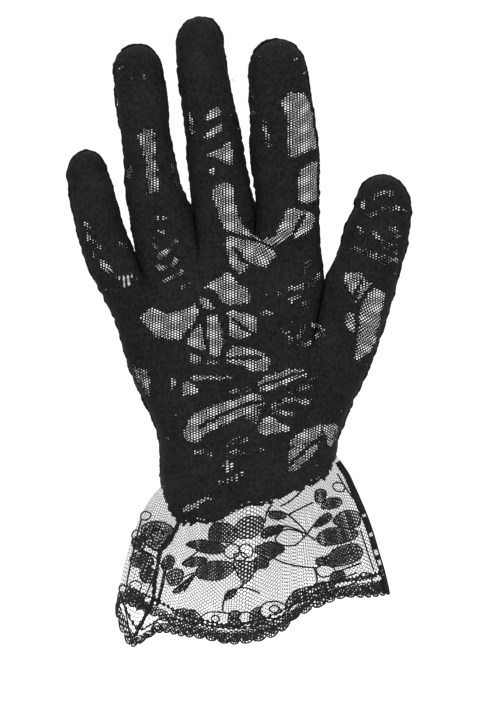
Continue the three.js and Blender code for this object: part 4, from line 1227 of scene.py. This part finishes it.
def dress(piece, node, material):
    piece.data.materials.clear()
    piece.data.materials.append(material)
    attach(piece, "root")
    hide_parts(node)


class LaceSizes(bpy.types.PropertyGroup):
    """Sizes and colours of the lace."""

    mesh_width: bpy.props.FloatProperty(
        name="Mesh width", description="Width of one mesh of the hand's net, in mm", default=1.7,
        min=0.8, max=4,
    )
    mesh_height: bpy.props.FloatProperty(
        name="Mesh height", description="Height of one mesh of the hand's net, in mm", default=1.06,
        min=0.5, max=3,
    )
    strand: bpy.props.FloatProperty(
        name="Strand", description="Width of one strand of the hand's net, in mm", default=0.3, min=0.1,
        max=0.8,
    )
    palm_strand: bpy.props.FloatProperty(
        name="Palm strand", description="Width of one strand of the palm's net, in mm", default=0.36,
        min=0.1, max=0.8,
    )
    black: bpy.props.FloatVectorProperty(
        name="Yarn", description="Colour of the hand's yarn", subtype="COLOR", size=3,
        default=(0.0015, 0.0015, 0.0028), min=0, max=1,
    )
    # Lighter tone of the hand's yarn: painted highlight and shade of the knit's relief, mixed with some
    # random tone of the yarn itself.
    black_tone_and_highlight: bpy.props.FloatVectorProperty(
        name="Yarn tone and highlight", description="Lighter tone of the hand's yarn", subtype="COLOR", size=3,
        default=(0.0135, 0.0115, 0.0112), min=0, max=1,
    )


class RuffleSizes(bpy.types.PropertyGroup):
    """Sizes and colours of the ruffle."""

    around: bpy.props.IntProperty(
        name="Meshes round", description="Meshes of net round the ruffle", default=262, min=60, max=400,
    )
    down: bpy.props.IntProperty(
        name="Meshes down", description="Meshes of net from the hem to the edge", default=46, min=10,
        max=90,
    )
    strand: bpy.props.FloatProperty(
        name="Strand share", description="Share of a mesh that its strands take", default=0.15,
        min=0.05, max=0.6,
    )
    charcoal: bpy.props.FloatVectorProperty(
        name="Net", description="Colour of the ruffle's net", subtype="COLOR", size=3,
        default=(0.0105, 0.0100, 0.0112), min=0, max=1,
    )
    cord: bpy.props.FloatVectorProperty(
        name="Flower cord", description="Colour of the ruffle's flower cords", subtype="COLOR", size=3,
        default=(0.0050, 0.0048, 0.0056), min=0, max=1,
    )


class GLOVE_OT_panels(bpy.types.Operator):
    """Knit the lace of the back and the palm"""

    bl_idname = "glove.panels"
    bl_label = "Lace panels"

    def execute(self, context):
        sizes = context.scene.lace_sizes
        yarn = yarn_finish("black_lace", sizes.black, sizes.black_tone_and_highlight, 0.74, 2600.0, 0.22, 0.012)
        for name, facing, node, slot in (
            ("back_lace", -1, "back_panel", "lace_back"), ("palm_lace", 1, "palm_panel", "lace_palm"),
        ):
            scale, strand = (1.0, sizes.strand) if facing < 0 else (PALM_MESH, sizes.palm_strand)
            piece = knit_hand(name, facing, (sizes.mesh_width * scale, sizes.mesh_height * scale), strand)
            dress(piece, node, yarn)
        return {"FINISHED"}


class GLOVE_OT_seams(bpy.types.Operator):
    """Lay the seam round the fingers and the one that closes the ruffle"""

    bl_idname = "glove.seams"
    bl_label = "Seams"

    def execute(self, context):
        yarn = yarn_finish(
            "seam_yarn", (0.004, 0.0038, 0.0042), (0.010, 0.0095, 0.010), 0.7, 1800.0, 0.3, 0.015,
        )
        points, outs = outline_path()
        points, outs, along = even_path(points, outs, 0.45)
        corners = np.arange(7)[None, :]
        wobble = 0.3 * soft_noise(along, along * 0, 2.6, 7.0) + 0.12 * soft_noise(along, along * 0, 0.9, 8.0)
        points = points + outs * wobble[:, None]
        swell = 0.52 + 0.13 * soft_noise(along, along * 0, 1.3, 1.0)[:, None]
        nub = swell + 0.16 * noise(np.arange(len(along))[:, None], corners)
        tip = points[:, 2] > 184.5
        thread = [(-9.4, 4.0, 160.6), (-7.9, 3.6, 161.9), (-6.9, 3.5, 162.3), (-6.1, 3.6, 161.4)]
        strands = [
            tube_parts(points - outs * 0.2, outs, nub, 7),
            tube_parts(thread, np.tile([0.0, -1.0, 0.2], (4, 1)), 0.1, 4),
            *fuzz(points, outs, 1900, 1.25, 4.0),
            *fuzz(points[tip], outs[tip], 70, 2.1, 9.0),
            *(loops(points, outs, fray) for fray in FRAYS),
        ]
        seam = cords("side_welt", strands)
        dress(seam, "side_seam", yarn)
        share = np.linspace(0.16, 0.985, 300)
        turn = 83.5 + 0.5 * soft_noise(share * 50, share * 0, 5.0, 12.0)
        out = ring_normal(ruffle_surface, turn, share)
        place = ruffle_surface(turn, share) + out * 0.25
        thick = 0.36 + 0.06 * np.sin(share * 205)[:, None]
        bands = [
            tube_parts(ruffle_surface(turn + lean, share) + out * 0.4, out, 0.34, 5) for lean in (-2.6, 2.6)
        ]
        for low, high in WELT_STRETCHES:
            kept = (share >= low) & (share <= high)
            bands.append(tube_parts(place[kept], out[kept], thick[kept], 8, 4.2))
        dress(cords("ruffle_welt", bands), "ruffle_seam", yarn)
        return {"FINISHED"}


class GLOVE_OT_hem(bpy.types.Operator):
    """Gather the hem round the wrist"""

    bl_idname = "glove.hem"
    bl_label = "Wrist hem"

    def execute(self, context):
        sizes = context.scene.lace_sizes
        yarn = yarn_finish("hem_cloth", sizes.black, sizes.black_tone_and_highlight, 0.76, 2600.0, 0.22, 0.012)
        columns = round(WRIST_ROUND / (0.75 * sizes.mesh_width))
        rows = round((HEM_DEEP - HEM_RISE) / sizes.mesh_height)
        hem = knit_ring(
            "gathered_hem", hem_cloth, columns - columns % 2, rows, hem_chart,
            sizes.strand / sizes.mesh_height,
        )
        dress(hem, "wrist_hem", yarn)
        return {"FINISHED"}


class GLOVE_OT_ruffle(bpy.types.Operator):
    """Knit the net ruffle with its flowers and scalloped edge"""

    bl_idname = "glove.ruffle"
    bl_label = "Wrist ruffle"

    def execute(self, context):
        sizes = context.scene.ruffle_sizes
        net = yarn_finish(
            "sheer_net", sizes.charcoal, tuple(2 * v for v in sizes.charcoal), 0.66, 2400.0, 0.2, 0.05
        )

        ruffle = knit_ring("net_ruffle", ruffle_surface, sizes.around, sizes.down, ruffle_chart, sizes.strand)
        dress(ruffle, "wrist_ruffle", net)
        flowers = cords("ruffle_flowers", ruffle_cords())
        cord = yarn_finish(
            "flower_cord", sizes.cord, tuple(2 * v for v in sizes.cord), 0.62, 2400.0, 0.2, 0.05
        )
        dress(flowers, "wrist_ruffle", cord)
        return {"FINISHED"}


class GLOVE_OT_stage(bpy.types.Operator):
    """Set the pale floor, the soft light and the camera"""

    bl_idname = "glove.stage"
    bl_label = "Stage"

    def execute(self, context):
        scene = context.scene
        scene.view_settings.view_transform = "Standard"
        mesh = bpy.data.meshes.new("sweep")
        profile = [
            (-14.0, -0.13), (1.8, -0.13), (2.2, -0.1), (2.5, 0.0), (2.65, 0.25), (2.7, 0.7), (2.7, 5.0),
        ]
        points = [(x, y, z) for y, z in profile for x in (-14, 14)]
        faces = [(2 * i, 2 * i + 1, 2 * i + 3, 2 * i + 2) for i in range(len(profile) - 1)]
        mesh.from_pydata(points, [], faces)
        mesh.shade_smooth()
        sweep = bpy.data.objects.new("sweep", mesh)
        scene.collection.objects.link(sweep)
        smooth_it = sweep.modifiers.new("round", "SUBSURF")
        smooth_it.levels = smooth_it.render_levels = 3
        paper = Finish("paper", Base_Color=(0.9, 0.9, 0.9, 1), Roughness=0.9, Specular_IOR_Level=0.1)
        sweep.data.materials.append(paper.material)
        world = bpy.data.worlds.new("studio")
        world.use_nodes = True
        world.node_tree.nodes["Background"].inputs[0].default_value = (1, 1, 1, 1)
        world.node_tree.nodes["Background"].inputs[1].default_value = 0.95
        scene.world = world
        for name, place, size, power in (
            ("key", (-0.9, -1.3, 1.3), 1.2, 26),
            ("fill", (1.1, -1.2, 0.5), 1.2, 12),
            ("back", (0.0, 0.7, 1.5), 1.6, 18),
        ):
            light = bpy.data.lights.new(name, "AREA")
            light.energy, light.size = power, size
            lamp = bpy.data.objects.new(name, light)
            lamp.location = place
            aim = np.array([0, 0, 0.06]) - np.array(place)
            lamp.rotation_euler = (
                math.atan2(math.hypot(aim[0], aim[1]), -aim[2]), 0, math.atan2(aim[1], aim[0]) - QUARTER,
            )
            scene.collection.objects.link(lamp)
        lens = bpy.data.cameras.new("camera")
        lens.sensor_width = 36
        lens.lens = 36 * 1.4 / (714 * 0.39 * MM)
        lens.clip_end = 50
        camera = bpy.data.objects.new("camera", lens)
        camera.location = (0, -1.4, 0.0538)
        camera.rotation_euler = (QUARTER, 0, 0)
        scene.collection.objects.link(camera)
        scene.camera = camera
        return {"FINISHED"}


class GLOVE_PT_panel(bpy.types.Panel):
    """Lists the glove's pieces"""

    bl_idname = "GLOVE_PT_panel"
    bl_label = "Lace glove"
    bl_space_type = "VIEW_3D"
    bl_region_type = "UI"
    bl_category = "Lace glove"

    def draw(self, context):
        for group in (context.scene.lace_sizes, context.scene.ruffle_sizes):
            for name in group.__annotations__:
                self.layout.prop(group, name)
        for step in STEPS:
            self.layout.operator(step.bl_idname)


STEPS = (GLOVE_OT_panels, GLOVE_OT_seams, GLOVE_OT_hem, GLOVE_OT_ruffle, GLOVE_OT_stage)
CLASSES = (LaceSizes, RuffleSizes, *STEPS, GLOVE_PT_panel)


def register():
    for made in CLASSES:
        bpy.utils.register_class(made)
    bpy.types.Scene.lace_sizes = bpy.props.PointerProperty(type=LaceSizes)
    bpy.types.Scene.ruffle_sizes = bpy.props.PointerProperty(type=RuffleSizes)


def unregister():
    del bpy.types.Scene.ruffle_sizes
    del bpy.types.Scene.lace_sizes
    for made in reversed(CLASSES):
        bpy.utils.unregister_class(made)


def main():
    register()
    bpy.ops.glove.panels()
    bpy.ops.glove.seams()
    bpy.ops.glove.hem()
    bpy.ops.glove.ruffle()
    bpy.ops.glove.stage()


if __name__ == "__main__":
    main()
